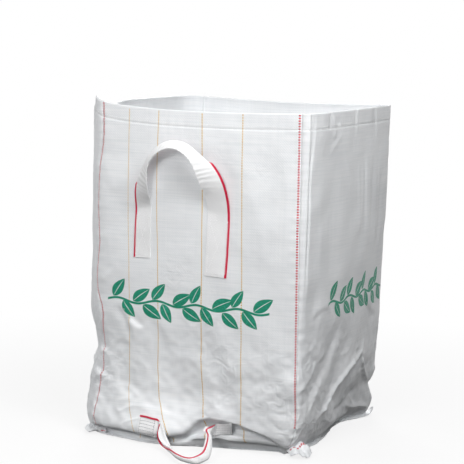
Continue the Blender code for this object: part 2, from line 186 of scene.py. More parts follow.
def outline(place, z):
    # the point a share of the way along its side, moved out by the swell, and round the corners by a
    # square law: (radius - distance) squared over 4 radii, along the two edges that meet there
    place, z = np.broadcast_arrays(np.asarray(place, float) % 4, np.asarray(z, float))
    side = np.floor(place).astype(int) % 4
    share = place - np.floor(place)
    corners = foldCorners(z)
    rows = np.indices(side.shape)
    around = [
        np.stack([corners[((side + step) % 4, axis, *rows)] for axis in (0, 1)], -1) for step in (-1, 0, 1, 2)
    ]
    length = np.linalg.norm(around[2] - around[1], axis=-1)
    edge = unit(around[2] - around[1])
    outward = np.stack([edge[..., 1], -edge[..., 0]], -1)
    radii = np.array([bagShape["softFold"], bagShape["sharpFold"], bagShape["softFold"], bagShape["softFold"]])
    roundings = []
    for along, radius in ((share * length, radii[side]), ((1 - share) * length, radii[(side + 1) % 4])):
        roundings.append((np.clip(radius - along, 0, None) ** 2 / (4 * radius))[..., None])
    flat = (
        around[1]
        + edge * (share * length)[..., None]
        + outward * faceSwell(side, share, z)[..., None]
        + roundings[0] * (unit(around[0] - around[1]) + edge)
        + roundings[1] * (unit(around[3] - around[2]) - edge)
    )
    return np.concatenate([flat, z[..., None]], -1)


def outwardNormal(place, z):
    # the cross product of a small step round the bag and a small step up
    z = np.asarray(z, float)
    along = outline(place + 0.004, z) - outline(place - 0.004, z)
    upward = outline(place, z + 0.002) - outline(place, z - 0.002)
    return unit(np.cross(along, upward))


def rimHeight(place):
    # level, sagging on the front and back, lifted at the front left corner and dipped just round it
    place = np.asarray(place, float) % 4
    share = place - np.floor(place)
    sags = np.isin(np.floor(place).astype(int), (front, back))
    level = bagShape["height"] - np.where(sags, bagShape["frontSag"] * np.sin(np.pi * share), 0)
    fromCorner = np.minimum(place, 4 - place)
    lift, onFront, onLeft = bagShape["cornerLift"]
    dip, middle, spread = bagShape["rimDip"]
    level = level + lift * np.exp(-fromCorner / np.where(place < 2, onFront, onLeft))
    return level - dip * bell(place, middle, spread)


def clothNoise(points, wavelength, seed, stretch=(1, 1, 1)):
    # a sum of 26 cosines in random directions, of about this wavelength: mean 0, spread 1
    rng = np.random.default_rng(seed)
    waves = unit(rng.normal(size=(26, 3)))
    waves *= (2 * np.pi / wavelength * rng.uniform(0.7, 1.35, 26))[:, None] / np.array(stretch)
    return np.cos(points @ waves.T + rng.uniform(0, 2 * np.pi, 26)).sum(-1) * np.sqrt(2 / 26)


def smoothPath(points, count):
    # a Catmull-Rom curve through the points, in evenly spaced steps
    points = np.asarray(points, float)
    ends = [2 * points[0] - points[1], *points, 2 * points[-1] - points[-2]]
    t = np.linspace(0, 1, 16, endpoint=False)[:, None]
    parts = [
        0.5 * (2 * b + (c - a) * t + (2 * a - 5 * b + 4 * c - d) * t**2 + (3 * b - a - 3 * c + d) * t**3)
        for a, b, c, d in zip(ends, ends[1:], ends[2:], ends[3:])
    ]
    dense = np.concatenate([*parts, points[-1:]])
    run = runAlong(dense)
    at = np.linspace(0, run[-1], count)
    return np.stack([np.interp(at, run, dense[:, axis]) for axis in range(dense.shape[1])], -1)


seamCurves = [smoothPath(np.array(points) / 1000, 80) for points in bagShape["seams"]]


def seamPlace(corner, z):
    # where the upright seam beside a fold lies: its distance from the fold, read off its smooth curve
    inset = np.interp(z, seamCurves[corner][:, 0], seamCurves[corner][:, 1]) / bagShape["width"]
    return corner + inset if corner in (0, 2) else corner - inset


# Creases set in the cloth: the line of each in millimetres across and up, its form, and its height and width
# in millimetres. A ridge stands out, a valley goes in, and a drag does one beside the other. On the front and
# the right the line is drawn on the flat plane through the folds, as seen along the camera's line.
setCreases = {
    front: [
        ([(-176, 292), (-160, 270), (-150, 250), (-142, 228), (-140, 205)], "drag", 3.4, 9),
        ([(-150, 262), (-134, 250), (-112, 240)], "drag", -2.4, 7),
        ([(-170, 212), (-158, 200), (-146, 206)], "valley", 2.2, 8),
        ([(-236, 206), (-209, 188), (-184, 170)], "drag", -2.8, 7),
        ([(-238, 144), (-205, 132), (-181, 119)], "drag", -3.0, 7),
        ([(-172, 120), (-184, 92), (-196, 60), (-204, 34)], "ridge", 2.4, 9),
        ([(-176, 116), (-150, 116), (-112, 92)], "drag", -1.4, 6),
        ([(-96, 262), (-70, 240), (-58, 205)], "drag", 1.6, 14),
        ([(-120, 70), (-100, 76), (-64, 70), (-20, 62)], "drag", -1.8, 7),
        ([(-214, 330), (-196, 352), (-170, 378)], "ridge", 1.6, 10),
        ([(-226, 604), (-204, 570), (-190, 520)], "ridge", 1.6, 16),
        ([(-206, 452), (-196, 400), (-190, 360)], "ridge", 1.8, 14),
        ([(60, 150), (120, 176), (190, 186)], "ridge", 1.0, 22),
        ([(150, 110), (196, 138), (236, 170)], "ridge", 1.4, 14),
        ([(120, 560), (150, 470), (160, 380)], "ridge", 1.5, 26),
        ([(-60, 200), (0, 186), (60, 196)], "ridge", 0.8, 20),
        ([(196, 640), (206, 560), (204, 470)], "ridge", 1.2, 12),
    ],
    right: [
        ([(130, 206), (97, 169), (50, 158), (3, 144), (-68, 112), (-137, 76), (-172, 58)], "ridge", 9.5, 5.5),
        ([(120, 176), (60, 138), (-20, 104), (-90, 70)], "valley", 8.5, 15),
        ([(97, 166), (116, 142), (135, 120), (165, 84)], "ridge", 6.0, 5),
        ([(165, 84), (182, 102), (204, 124)], "ridge", 5.0, 5),
        ([(120, 150), (150, 130), (190, 146)], "valley", 3.0, 9),
        ([(110, 84), (60, 74), (15, 62), (-62, 58)], "valley", 8.5, 10),
        ([(20, 64), (60, 46), (120, 40), (180, 28)], "ridge", 5.5, 7),
        ([(-120, 60), (-70, 44), (0, 40), (60, 30)], "ridge", 4.0, 8),
        ([(-20, 246), (-62, 224), (-106, 176), (-168, 140), (-230, 96)], "drag", 4.4, 20),
        ([(-200, 150), (-150, 110), (-110, 60)], "ridge", 2.0, 9),
        ([(-215, 230), (-180, 200), (-120, 190)], "drag", 1.8, 9),
        ([(-122, 722), (-130, 700), (-138, 672)], "valley", 3.4, 5),
        ([(-120, 722), (-100, 702), (-70, 678)], "valley", 3.4, 5),
        ([(-112, 706), (-106, 680), (-104, 650)], "ridge", 2.4, 8),
        ([(30, 722), (24, 690), (30, 650)], "drag", 1.6, 7),
        ([(150, 716), (146, 690), (158, 640)], "drag", 2.0, 8),
        ([(78, 600), (84, 540), (80, 470)], "ridge", 1.5, 4.5),
        ([(112, 590), (118, 500), (114, 400)], "ridge", 1.6, 5),
        ([(136, 600), (140, 520), (134, 420)], "valley", 1.4, 5),
        ([(176, 600), (180, 500), (176, 400)], "ridge", 1.7, 5),
        ([(214, 590), (216, 500), (208, 390)], "ridge", 1.5, 5),
        ([(-201, 286), (-150, 300), (-110, 296)], "drag", 1.4, 8),
        ([(53, 600), (60, 520), (66, 430)], "ridge", 2.0, 9),
        ([(89, 610), (98, 520), (102, 420)], "drag", 2.2, 9),
        ([(150, 620), (158, 540), (163, 440), (150, 360)], "ridge", 2.4, 10),
        ([(196, 560), (200, 470), (190, 380)], "drag", 2.2, 10),
        ([(-48, 664), (-90, 644), (-132, 622)], "ridge", 1.6, 9),
        ([(-60, 660), (-20, 600), (10, 520)], "ridge", 1.8, 14),
        ([(-190, 560), (-170, 470), (-176, 380)], "ridge", 1.2, 18),
        ([(0, 330), (60, 300), (120, 310)], "ridge", 1.4, 16),
        ([(120, 300), (150, 262), (196, 240)], "drag", 2.0, 10),
        ([(-140, 330), (-90, 280), (-60, 236)], "ridge", 1.2, 14),
    ],
    back: [
        ([(-190, 250), (-150, 190), (-130, 120)], "drag", 3.0, 10),
        ([(60, 60), (120, 110), (190, 140), (230, 200)], "ridge", 2.6, 10),
        ([(-40, 170), (20, 140), (90, 150)], "ridge", 1.2, 20),
        ([(-210, 90), (-160, 70), (-110, 74)], "drag", -2.2, 8),
        ([(170, 620), (176, 520), (168, 420)], "ridge", 1.6, 14),
        ([(-180, 600), (-186, 500), (-176, 400)], "ridge", 1.4, 16),
        ([(130, 330), (170, 290), (210, 280)], "drag", 1.8, 10),
    ],
    left: [
        ([(-180, 60), (-120, 90), (-40, 110), (30, 160), (90, 210)], "ridge", 3.8, 10),
        ([(230, 230), (196, 200), (150, 190)], "drag", 3.4, 10),
        ([(236, 160), (190, 140), (150, 100), (120, 60)], "drag", -3.0, 9),
        ([(-120, 600), (-126, 500), (-110, 400)], "ridge", 1.8, 14),
        ([(60, 640), (70, 540), (60, 420)], "ridge", 1.6, 14),
        ([(-200, 210), (-160, 260), (-150, 330)], "ridge", 1.4, 14),
        ([(196, 560), (186, 470), (192, 380)], "drag", 1.8, 11),
    ],
}
creaseFades = 0.22  # share of its line over which a crease grows and fades


def onPlane(face, x, y, z):
    # where a point shows on the flat plane of its face: moved along the camera's line until it meets the plane
    turn, dip = np.radians(viewPoint["azimuth"]), np.radians(viewPoint["pitch"])
    if face == front:
        depth = y + bagShape["depth"] / 2
        return x + depth * np.tan(turn), z + depth * np.tan(dip) / np.cos(turn)
    if face == right:
        depth = bagShape["width"] / 2 - x
        return y - depth / np.tan(turn), z + depth * np.tan(dip) / np.sin(turn)
    return (-x, z) if face == back else (-y, z)


def creaseHeight(across, z, creases):
    # for each crease: its profile over the distance to its line, fading out at the line's two ends
    total = np.zeros_like(across)
    points = np.stack([across, z], -1)[..., None, :]
    for line, form, height, width in creases:
        path = smoothPath(np.array(line) / 1000, 15)
        start, step = path[:-1], np.diff(path, axis=0)
        length = (step**2).sum(-1)
        share = np.clip(((points - start) * step).sum(-1) / length, 0, 1)
        gap = points - start - share[..., None] * step
        distance = np.linalg.norm(gap, axis=-1)
        nearest = distance.argmin(-1)[..., None]
        away = np.take_along_axis(distance, nearest, -1)[..., 0] / (width / 1000)
        turn = step[:, 0] * gap[..., 1] - step[:, 1] * gap[..., 0]
        side = np.sign(np.take_along_axis(turn, nearest, -1)[..., 0])
        along = (np.take_along_axis(share, nearest, -1) + nearest)[..., 0] / len(step)
        fade = smoothStep(along, 0, creaseFades) * smoothStep(along, 1, -creaseFades)
        if form == "drag":
            profile = side * away * np.exp(-(away**1.5)) * 1.6
        else:
            profile = np.exp(0.25 - np.sqrt(away**2 + 0.0625)) * (-1 if form == "valley" else 1)
        total += profile * fade * height / 1000
    return total


# The fold low on the front: its line across, its height, and how the cloth goes in beneath it
frontFold = {
    "across": (-250, -224, -162, -105, -64, -40, -14, 4, 20, 42, 73, 108, 143, 180, 214, 236, 250),
    "height": (14, 15, 18, 17, 15, 20, 26, 46, 60, 64, 63, 59, 49, 37, 19, 6, 4),
    "shares": (0, 0.1, 0.25, 0.4, 0.6, 0.8, 0.93, 1.0, 1.25, 1.6),  # of that height
    "plain": (17, 18, 21, 24, 25, 18, 8, 4.6, 1.4, 0),  # depth in millimetres on the left
    "doubled": (22, 21, 16, 17, 30, 31, 16, 1.8, 0.3, 0),  # and on the right, where it is folded twice
    # for each, the place across and the length that it grows over
    "starts": (-0.285, 0.02),
    "doubles": (-0.020, 0.042),
    "doubledUntil": (0.262, -0.05),
}


def frontFoldDepth(x, z):
    # the depth profile over z as a share of the fold's own height, blended from the plain to the doubled one
    fold = frontFold
    height = np.interp(x * 1000, fold["across"], fold["height"]) / 1000
    share = np.clip(z / height, 0, fold["shares"][-1])
    plain = np.interp(share, fold["shares"], fold["plain"])
    doubled = np.interp(share, fold["shares"], fold["doubled"])
    mix = smoothStep(x, *fold["doubles"]) * smoothStep(x, *fold["doubledUntil"])
    return (plain + (doubled - plain) * mix) * smoothStep(x, *fold["starts"]) / 1000


# How the cloth lies over that shape, in metres
clothFolds = {
    "lowDown": (0.36, -0.26),  # height below which it lies more crumpled, and the length that this grows over
    "highUp": (0.60, 0.10),  # and the same where it lies flatter
    "soft": (0.0013, 0.170),  # long swells: height, wavelength
    "middle": (0.0008, 0.065),
    "fine": (0.00036, 0.024),
    "crumple": (0.0026, 0.056, 0.19),  # sharp little ridges low down, and wavelength of the patches that have them
    "crumpledFront": (-0.19, 0.10),  # middle and spread of the patch on the front
    "seamDip": (0.0013, 0.0026),  # valley along a seam: depth, width
    "seamPucker": (0.0005, 0.012, 0.021),  # height, reach, wavelength
    "ridge": (0.0028, 0.25, 0.004),  # of the pressed fold: height at the rim, share of it at the foot, reach past it
    "ridgeGrows": (0.05, 0.62),  # from this height on, over this length
    "nearBulge": (0.0040, 0.062, 0.040),  # swell of the right side just past it: height, distance, width
    "groove": (0.0032, 0.0075, 0.0042),  # hollow just round it: depth, distance, width
    "grooveGrows": (0.56, 0.14),
    "creaseLine": (0.0026, 0.0060, 0.0110, 0.0020),  # dark line past it: depth, distance, more at the rim, width
    "creaseLineGrows": (0.33, 0.12),
    "creaseLineMoves": (0.58, 0.14),
    "hemLine": (0.0009, 0.0335, 0.0015),  # valley along the stitches: depth, distance from the rim, width
    # height, wavelength, distance from the rim, spread, and wavelength of the patches that have it
    "hemPucker": (0.00035, 0.016, 0.030, 0.016, 0.12),
    "hemDepth": 0.036,
}


def lyingHeight(place, z, base):
    # how far the cloth stands off the plain outline: noise, set creases, the fold low on the front, seam valleys,
    # the pressed fold, and the hem's stitch line
    place = np.asarray(place, float)
    around = place % 4
    face = np.floor(around).astype(int) % 4
    x, y = base[..., 0], base[..., 1]
    folds = clothFolds
    low = smoothStep(z, *folds["lowDown"])
    nearRim = smoothStep(z, *folds["highUp"])
    height = folds["soft"][0] * clothNoise(base, folds["soft"][1], 11, (1, 1, 1.7)) * (1 - 0.5 * nearRim)
    height += folds["middle"][0] * clothNoise(base, folds["middle"][1], 5, (1, 1, 1.4)) * (0.55 + 0.9 * low)
    height += folds["fine"][0] * clothNoise(base, folds["fine"][1], 8) * (0.25 + 0.9 * low)
    size, length, patchLength = folds["crumple"]
    sharp = 1 - np.abs(clothNoise(base, length, 23))
    patch = smoothStep(clothNoise(base, patchLength, 31) * 0.6 + 0.45) * low
    onFront = bell(x, *folds["crumpledFront"]) * (y < -0.15)
    onSide = np.where((face == right) | (face == left), 0.8, 0)
    height += size * np.clip(sharp, 0, None) ** 3 * patch * np.clip(onFront + onSide + 0.12, 0, 1)

    for side in (front, right, back, left):
        on = face == side
        if on.any():
            across, up = onPlane(side, x[on], y[on], z[on])
            height[on] += creaseHeight(across, up, setCreases[side])
            if side == front:
                height[on] -= frontFoldDepth(across, up)

    for corner in range(4):
        away = np.abs((around - seamPlace(corner, z) + 2) % 4 - 2) * bagShape["width"]
        depth, width = folds["seamDip"]
        height -= depth * bell(away, 0, width)
        size, reach, length = folds["seamPucker"]
        height += size * np.exp(-away / reach) * np.sin(2 * np.pi * z / length + 3 * np.sin(9 * z))

    beyond = (around - 1) * bagShape["width"]  # distance past the pressed fold
    strip = (1 - seamPlace(1, z)) * bagShape["width"]
    size, least, reach = folds["ridge"]
    up = least + (1 - least) * smoothStep(z, *folds["ridgeGrows"])
    rising = np.clip(1 + beyond / strip, 0, 1) ** 1.3 * (beyond <= 0)
    falling = np.exp(-beyond / reach) * (beyond > 0)
    height += size * up * (rising + falling)
    bulge, distance, width = folds["nearBulge"]
    height += bulge * bell(beyond, distance, width) * smoothStep(beyond, 0, 0.02)
    depth, distance, width = folds["groove"]
    height -= depth * smoothStep(z, *folds["grooveGrows"]) * bell(beyond, distance, width)
    depth, distance, further, width = folds["creaseLine"]
    line = distance + further * smoothStep(z, *folds["creaseLineMoves"])
    height -= depth * smoothStep(z, *folds["creaseLineGrows"]) * bell(beyond, line, width)
    fromRim = rimHeight(place) - z
    depth, distance, width = folds["hemLine"]
    height -= depth * bell(fromRim, distance, width)
    size, length, distance, width, patchLength = folds["hemPucker"]
    gather = np.sin(2 * np.pi * around * bagShape["width"] / length + 2.5 * np.sin(23 * around))
    patch = smoothStep(clothNoise(base * (1, 1, 0), patchLength, 3))
    return height + size * gather * patch * bell(fromRim, distance, width)


def wallSurface(place, z, depth=0.0):
    # the outline, moved along its outward normal by the way the cloth lies less the depth
    place, z = np.broadcast_arrays(np.asarray(place, float), np.asarray(z, float))
    base = outline(place, z)
    normal = outwardNormal(place, z)
    return base + normal * (lyingHeight(place, z, base) - depth)[..., None], normal


def facePlace(face, across, z):
    # the outline place that is this far right of the middle of the front or back, seen from outside
    corners = foldCorners(np.asarray(z, float))
    start, end = corners[face, 0], corners[(face + 1) % 4, 0]
    wanted = across if face == front else -across
    return face + (wanted - start) / (end - start)


def spacedPoints(first, last, spacing):
    # points from first to last whose spacing follows the function: the inverse of the running sum of 1 over it
    fine = np.linspace(first, last, 4000)
    run = np.concatenate([[0], np.cumsum((fine[1:] - fine[:-1]) / spacing((fine[1:] + fine[:-1]) / 2))])
    count = int(np.ceil(run[-1])) + 1
    return np.interp(np.linspace(0, run[-1], count), run, fine)


def gridNormals(grid):
    # the cross product of the steps along a row and up a column
    normal = np.cross(np.gradient(grid, axis=1), np.gradient(grid, axis=0))
    return normal / (np.linalg.norm(normal, axis=-1, keepdims=True) + 1e-12)


def onGrid(grid, normals, row, column, lift):
    # the point between four grid points, in proportion, raised along the normal by the lift
    row = np.clip(row, 0, grid.shape[0] - 1.0001)
    column = np.clip(column, 0, grid.shape[1] - 1.0001)
    i, j = row.astype(int), column.astype(int)
    p, q = (row - i)[..., None], (column - j)[..., None]

    def between(values):
        low = values[i, j] * (1 - q) + values[i, j + 1] * q
        high = values[i + 1, j] * (1 - q) + values[i + 1, j + 1] * q
        return low * (1 - p) + high * p

    return between(grid) + between(normals) * np.asarray(lift)[..., None]


def toLinear(hexColour):
    # sRGB to linear: c / 12.92 below 0.04045, else ((c + 0.055) / 1.055) to the power 2.4
    channels = np.array([int(hexColour[i : i + 2], 16) / 255 for i in (1, 3, 5)])
    linear = np.where(channels <= 0.04045, channels / 12.92, ((channels + 0.055) / 1.055) ** 2.4)
    return (*linear.tolist(), 1.0)


def feed(tree, node, links):
    # link each source, a socket or a node's first output, to the input that it is named for
    for name, source in dict(links).items():
        socket = source.outputs[0] if isinstance(source, bpy.types.Node) else source
        tree.links.new(socket, node.inputs[name])


def addNode(tree, kind, settings=(), links=()):
    # one node with its settings, which are properties or input values, and the sources that feed it
    node = tree.nodes.new("ShaderNode" + kind)
    for name, value in dict(settings).items():
        if isinstance(name, str) and hasattr(node, name):
            setattr(node, name, value)
        else:
            node.inputs[name].default_value = value
    feed(tree, node, links)
    return node


def startMaterial(name):
    # a new material, its node tree and its surface shader
    material = bpy.data.materials.new(name)
    material.use_nodes = True
    tree = material.node_tree
    return material, tree, tree.nodes["Principled BSDF"]


def addRamp(tree, source, stops):
    # a colour ramp through the stops, each a position and a hex colour
    ramp = addNode(tree, "ValToRGB", (), {"Fac": source})
    elements = ramp.color_ramp.elements
    while len(elements) < len(stops):
        elements.new(0.5)
    for element, (position, colour) in zip(elements, stops):
        element.position, element.color = position, toLinear(colour)
    return ramp


plasticIor = 1.49  # polypropylene and polyester

# Woven polypropylene: flat extruded tapes 2.7 mm wide in a plain weave under a thin clear coating, so it is a
# milky white with a soft plastic shine, and single thicker tapes show as fine straight lines both ways
clothFinish = {
    "tape": 0.0027,
    "shades": ((0.30, "#EAEDEF"), (0.50, "#F1F3F5"), (0.70, "#F6F7F8")),
    "roughness": (0.36, 0.52),
    "sheen": 0.05,
    "weaveBump": 0.00008,
    "slubBump": 0.00007,
    "slubLength": (7, 4),  # noise scale along the cross tapes and along the upright ones
    "upright": 0.30,  # share of the fine lines that the upright tapes make
    "grey": "#D3D5D9",
    "soil": (7.0, 0.42, 0.72),  # scale, and the noise values between which it grows
    "soilLow": (0.14, 0.55, 0.16),  # height up to which there is more, and its share at the floor and above
    "wrinkles": (34.0, 0.0008, 0.16),  # scale, depth and half width in noise of the small sharp wrinkles
    "wrinklePatches": (5.5, 0.50, 0.66),
    "wrinklesLow": (0.05, 0.40, 0.40),  # full up to the first height, and this share from the second height up
}


def makeCloth(name):
    # weave: the sines of both map directions multiplied; slubs: noise one tape wide; soil and wrinkles: noise
    # in Object coordinates, more of both low down. A wrinkle lies where its noise crosses its middle value
    material, tree, shader = startMaterial(name)
    finish = clothFinish
    tape = finish["tape"]
    uv = addNode(tree, "UVMap", {"uv_map": "clothMap"})
    across, up, _ = addNode(tree, "SeparateXYZ", (), {0: uv}).outputs
    waves = []
    for socket in (across, up):
        scaled = addNode(tree, "Math", {"operation": "MULTIPLY", 1: np.pi / tape}, {0: socket})
        waves.append(addNode(tree, "Math", {"operation": "SINE"}, {0: scaled}))
    weave = addNode(tree, "Math", {"operation": "MULTIPLY"}, {0: waves[0], 1: waves[1]})
    slubs = []
    alongCross, alongUpright = finish["slubLength"]
    for stretch, seed in (((alongCross, 1 / tape, 1), 3.0), ((1 / tape, alongUpright, 1), 8.0)):
        mapped = addNode(tree, "Mapping", {"Scale": stretch, "Location": (seed, seed * 1.7, 0)}, {"Vector": uv})
        settings = {"noise_dimensions": "2D", "Scale": 1.0, "Detail": 2.0, "Roughness": 0.6}
        slubs.append(addNode(tree, "TexNoise", settings, {"Vector": mapped}))
    share = finish["upright"]
    upright = addNode(tree, "Math", {"operation": "MULTIPLY", 1: share}, {0: slubs[1]})
    level = addNode(tree, "Math", {"operation": "MULTIPLY_ADD", 1: 1 - share}, {0: slubs[0], 2: upright})
    tapes = addRamp(tree, level, finish["shades"])

    place = addNode(tree, "TexCoord").outputs["Object"]
    height = addNode(tree, "SeparateXYZ", (), {0: place}).outputs[2]
    scale, least, most = finish["soil"]
    smudge = addNode(tree, "TexNoise", {"Scale": scale, "Detail": 4.0, "Roughness": 0.62}, {"Vector": place})
    soil = addNode(tree, "MapRange", {"From Min": least, "From Max": most}, {"Value": smudge})
    until, atFloor, above = finish["soilLow"]
    settings = {"From Min": 0.0, "From Max": until, "To Min": atFloor, "To Max": above}
    low = addNode(tree, "MapRange", settings, {"Value": height})
    amount = addNode(tree, "Math", {"operation": "MULTIPLY"}, {0: soil, 1: low})
    settings = {"data_type": "RGBA", "blend_type": "MIX", 7: toLinear(finish["grey"])}
    soiled = addNode(tree, "Mix", settings, {0: amount, 6: tapes}).outputs[2]
    smooth, dull = finish["roughness"]
    settings = {"From Min": 0.3, "From Max": 0.7, "To Min": smooth, "To Max": dull}
    rough = addNode(tree, "MapRange", settings, {"Value": smudge})

    scale, depth, half = finish["wrinkles"]
    settings = {"Scale": scale, "Detail": 2.5, "Roughness": 0.55, "Distortion": 0.7}
    noise = addNode(tree, "TexNoise", settings, {"Vector": place})
    fromMiddle = addNode(tree, "Math", {"operation": "SUBTRACT", 1: 0.5}, {0: noise})
    distance = addNode(tree, "Math", {"operation": "ABSOLUTE"}, {0: fromMiddle})
    settings = {"From Min": 0.0, "From Max": half, "To Min": 1.0, "To Max": 0.0}
    creased = addNode(tree, "MapRange", settings, {"Value": distance})
    scale, least, most = finish["wrinklePatches"]
    patch = addNode(tree, "TexNoise", {"Scale": scale, "Detail": 1.0}, {"Vector": place})
    patchy = addNode(tree, "MapRange", {"From Min": least, "From Max": most}, {"Value": patch})
    least, most, above = finish["wrinklesLow"]
    settings = {"From Min": least, "From Max": most, "To Min": 1.0, "To Max": above}
    lower = addNode(tree, "MapRange", settings, {"Value": height})
    wrinkled = addNode(tree, "Math", {"operation": "MULTIPLY"}, {0: creased, 1: patchy})
    wrinkled = addNode(tree, "Math", {"operation": "MULTIPLY"}, {0: wrinkled, 1: lower})

    before = {}
    for distance, source in ((finish["weaveBump"], weave), (finish["slubBump"], level), (depth, wrinkled)):
        bump = addNode(tree, "Bump", {"Strength": 1.0, "Distance": distance}, {"Height": source, **before})
        before = {"Normal": bump}
    feed(tree, shader, {"Base Color": soiled, "Roughness": rough, "Normal": bump})
    shader.inputs["IOR"].default_value = plasticIor
    shader.inputs["Sheen Weight"].default_value = finish["sheen"]
    return material


# Polypropylene webbing: spun yarn in a herringbone twill, so it is whiter than the cloth and matt. The real
# ribs are about 1.5 mm apart; they are drawn 3.2 mm apart, because finer ones do not show at this size
webbingFinish = {
    "rib": 0.0032,
    "column": 0.0085,
    "shades": ((0.0, "#ECEDEF"), (0.55, "#FFFFFF")),
    "stripe": ((0.1, "#BC0A36"), (0.7, "#E01646")),
    "ribBump": 0.00014,
    "roughness": 0.72,
    "sheen": 0.15,
}


def makeWebbing(name, stripeMiddle, stripeHalf):
    # ribs: the sine of the way along plus a ping-pong of the way across; the stripe: where the distance from its
    # middle is less than its half
    material, tree, shader = startMaterial(name)
    finish = webbingFinish
    uv = addNode(tree, "UVMap", {"uv_map": "clothMap"})
    across, along, _ = addNode(tree, "SeparateXYZ", (), {0: uv}).outputs
    zigzag = addNode(tree, "Math", {"operation": "PINGPONG", 1: finish["column"]}, {0: across})
    slanted = addNode(tree, "Math", {"operation": "ADD"}, {0: along, 1: zigzag})
    turned = addNode(tree, "Math", {"operation": "MULTIPLY", 1: 2 * np.pi / finish["rib"]}, {0: slanted})
    ribs = addNode(tree, "Math", {"operation": "SINE"}, {0: turned})
    level = addNode(tree, "MapRange", {"From Min": -1.0, "From Max": 1.0}, {"Value": ribs})
    white = addRamp(tree, level, finish["shades"])
    yarn = addRamp(tree, level, finish["stripe"])
    offset = addNode(tree, "Math", {"operation": "SUBTRACT", 1: stripeMiddle}, {0: across})
    distance = addNode(tree, "Math", {"operation": "ABSOLUTE"}, {0: offset})
    inStripe = addNode(tree, "Math", {"operation": "LESS_THAN", 1: stripeHalf}, {0: distance})
    colour = addNode(tree, "Mix", {"data_type": "RGBA", "blend_type": "MIX"}, {0: inStripe, 6: white, 7: yarn})
    bump = addNode(tree, "Bump", {"Strength": 1.0, "Distance": finish["ribBump"]}, {"Height": ribs})
    feed(tree, shader, {"Base Color": colour.outputs[2], "Normal": bump})
    shader.inputs["Roughness"].default_value = finish["roughness"]
    shader.inputs["IOR"].default_value = plasticIor
    shader.inputs["Sheen Weight"].default_value = finish["sheen"]
    return material


def makeSpeckled(name, noise, stops, roughness, ior):
    # one colour that varies a little with a noise in Object coordinates
    material, tree, shader = startMaterial(name)
    place = addNode(tree, "TexCoord").outputs["Object"]
    colour = addRamp(tree, addNode(tree, "TexNoise", noise, {"Vector": place}), stops)
    feed(tree, shader, {"Base Color": colour})
    shader.inputs["Roughness"].default_value = roughness
    shader.inputs["IOR"].default_value = ior
    return material


def makeThread(name, pale, deep, roughness):
    # dyed thread or tape, which varies along its length; the grey one is white thread with painted shade
    return makeSpeckled(name, {"Scale": 160.0, "Detail": 2.0}, ((0.35, deep), (0.65, pale)), roughness, plasticIor)


def makeInk(name):
    # flexographic ink: a thin flat green that lets a little of the weave through where it took badly
    stops = ((0.30, "#007052"), (0.52, "#04886A"), (0.66, "#1F9A7E"), (0.76, "#7CBBAA"))
    return makeSpeckled(name, {"Scale": 240.0, "Detail": 3.0, "Roughness": 0.7}, stops, 0.5, 1.47)


wovenPolypropylene = makeCloth("wovenPolypropylene")
carryWebbing = makeWebbing("herringboneWebbing", -0.0225, 0.0025)
tippingWebbing = makeWebbing("foldedWebbing", -0.0172, 0.0025)
redTape = makeThread("redMarkerTape", "#C8002E", "#AE0024", 0.5)
yellowTape = makeThread("yellowMarkerTape", "#E0B32E", "#CB9A1A", 0.5)
whiteThread = makeThread("polyesterThread", "#FAFAFA", "#E2E3E5", 0.6)
# white thread coloured grey: painted shade of the grooves that the stitches sink into on the tipping handle's sewn
# ends
paintedShadeThread = makeThread("whiteThreadPaintedGrey", "#A9ACB0", "#8F9397", 0.7)
greenInk = makeInk("greenInk")
print("finishes made")


def addMesh(name, points, quads, material, uv=None, sharp=None):
    # one smooth mesh; an edge is sharp if its two points are a pair in the list of sharp edges
    mesh = bpy.data.meshes.new(name)
    mesh.from_pydata(points.tolist(), [], quads.tolist())
    if uv is not None:
        layer = mesh.uv_layers.new(name="clothMap")
        corners = np.zeros(len(mesh.loops), np.int32)
        mesh.loops.foreach_get("vertex_index", corners)
        layer.data.foreach_set("uv", uv[corners].astype(np.float32).ravel())
    mesh.shade_smooth()
    if sharp is not None:
        pairs = np.zeros(len(mesh.edges) * 2, np.int64)
        mesh.edges.foreach_get("vertices", pairs)
        pairs = np.sort(pairs.reshape(-1, 2), axis=1)
        wanted = np.sort(sharp, axis=1)
        isSharp = np.isin(pairs @ (len(points), 1), wanted @ (len(points), 1))
        attribute = mesh.attributes.new("sharp_edge", "BOOLEAN", "EDGE")
        attribute.data.foreach_set("value", isSharp)
    mesh.materials.append(material)
    piece = bpy.data.objects.new(name, mesh)
    bpy.context.scene.collection.objects.link(piece)
    return piece


def gridQuads(rows, columns):
    # the four points round each cell of a grid that is numbered row by row
    number = np.arange(rows * columns).reshape(rows, columns)
    return np.stack([number[:-1, :-1], number[:-1, 1:], number[1:, 1:], number[1:, :-1]], -1).reshape(-1, 4)


def addPatches(name, grids, material):
    # many small grids of one size in one mesh
    count, rows, columns = grids.shape[:3]
    quads = (gridQuads(rows, columns)[None] + (np.arange(count) * rows * columns)[:, None, None]).reshape(-1, 4)
    return addMesh(name, grids.reshape(-1, 3), quads, material)


def addSheet(name, grid, thickness, material, uv):
    # a closed sheet: the grid, the same grid moved in along its normals by the thickness, and a rim
    rows, columns = grid.shape[:2]
    inner = grid - gridNormals(grid) * thickness
    count = rows * columns
    outerQuads = gridQuads(rows, columns)
    number = np.arange(count).reshape(rows, columns)
    edge = np.concatenate([number[0, :], number[1:, -1], number[-1, -2::-1], number[-2:0:-1, 0]])
    nextEdge = np.roll(edge, -1)
    rimQuads = np.stack([nextEdge, edge, edge + count, nextEdge + count], -1)
    quads = np.concatenate([outerQuads, outerQuads[:, ::-1] + count, rimQuads])
    sharp = np.concatenate([np.stack([edge, nextEdge], -1), np.stack([edge, nextEdge], -1) + count])
    points = np.concatenate([grid.reshape(-1, 3), inner.reshape(-1, 3)])
    uv = np.concatenate([uv.reshape(-1, 2)] * 2)
    return addMesh(name, points, quads, material, uv, sharp)


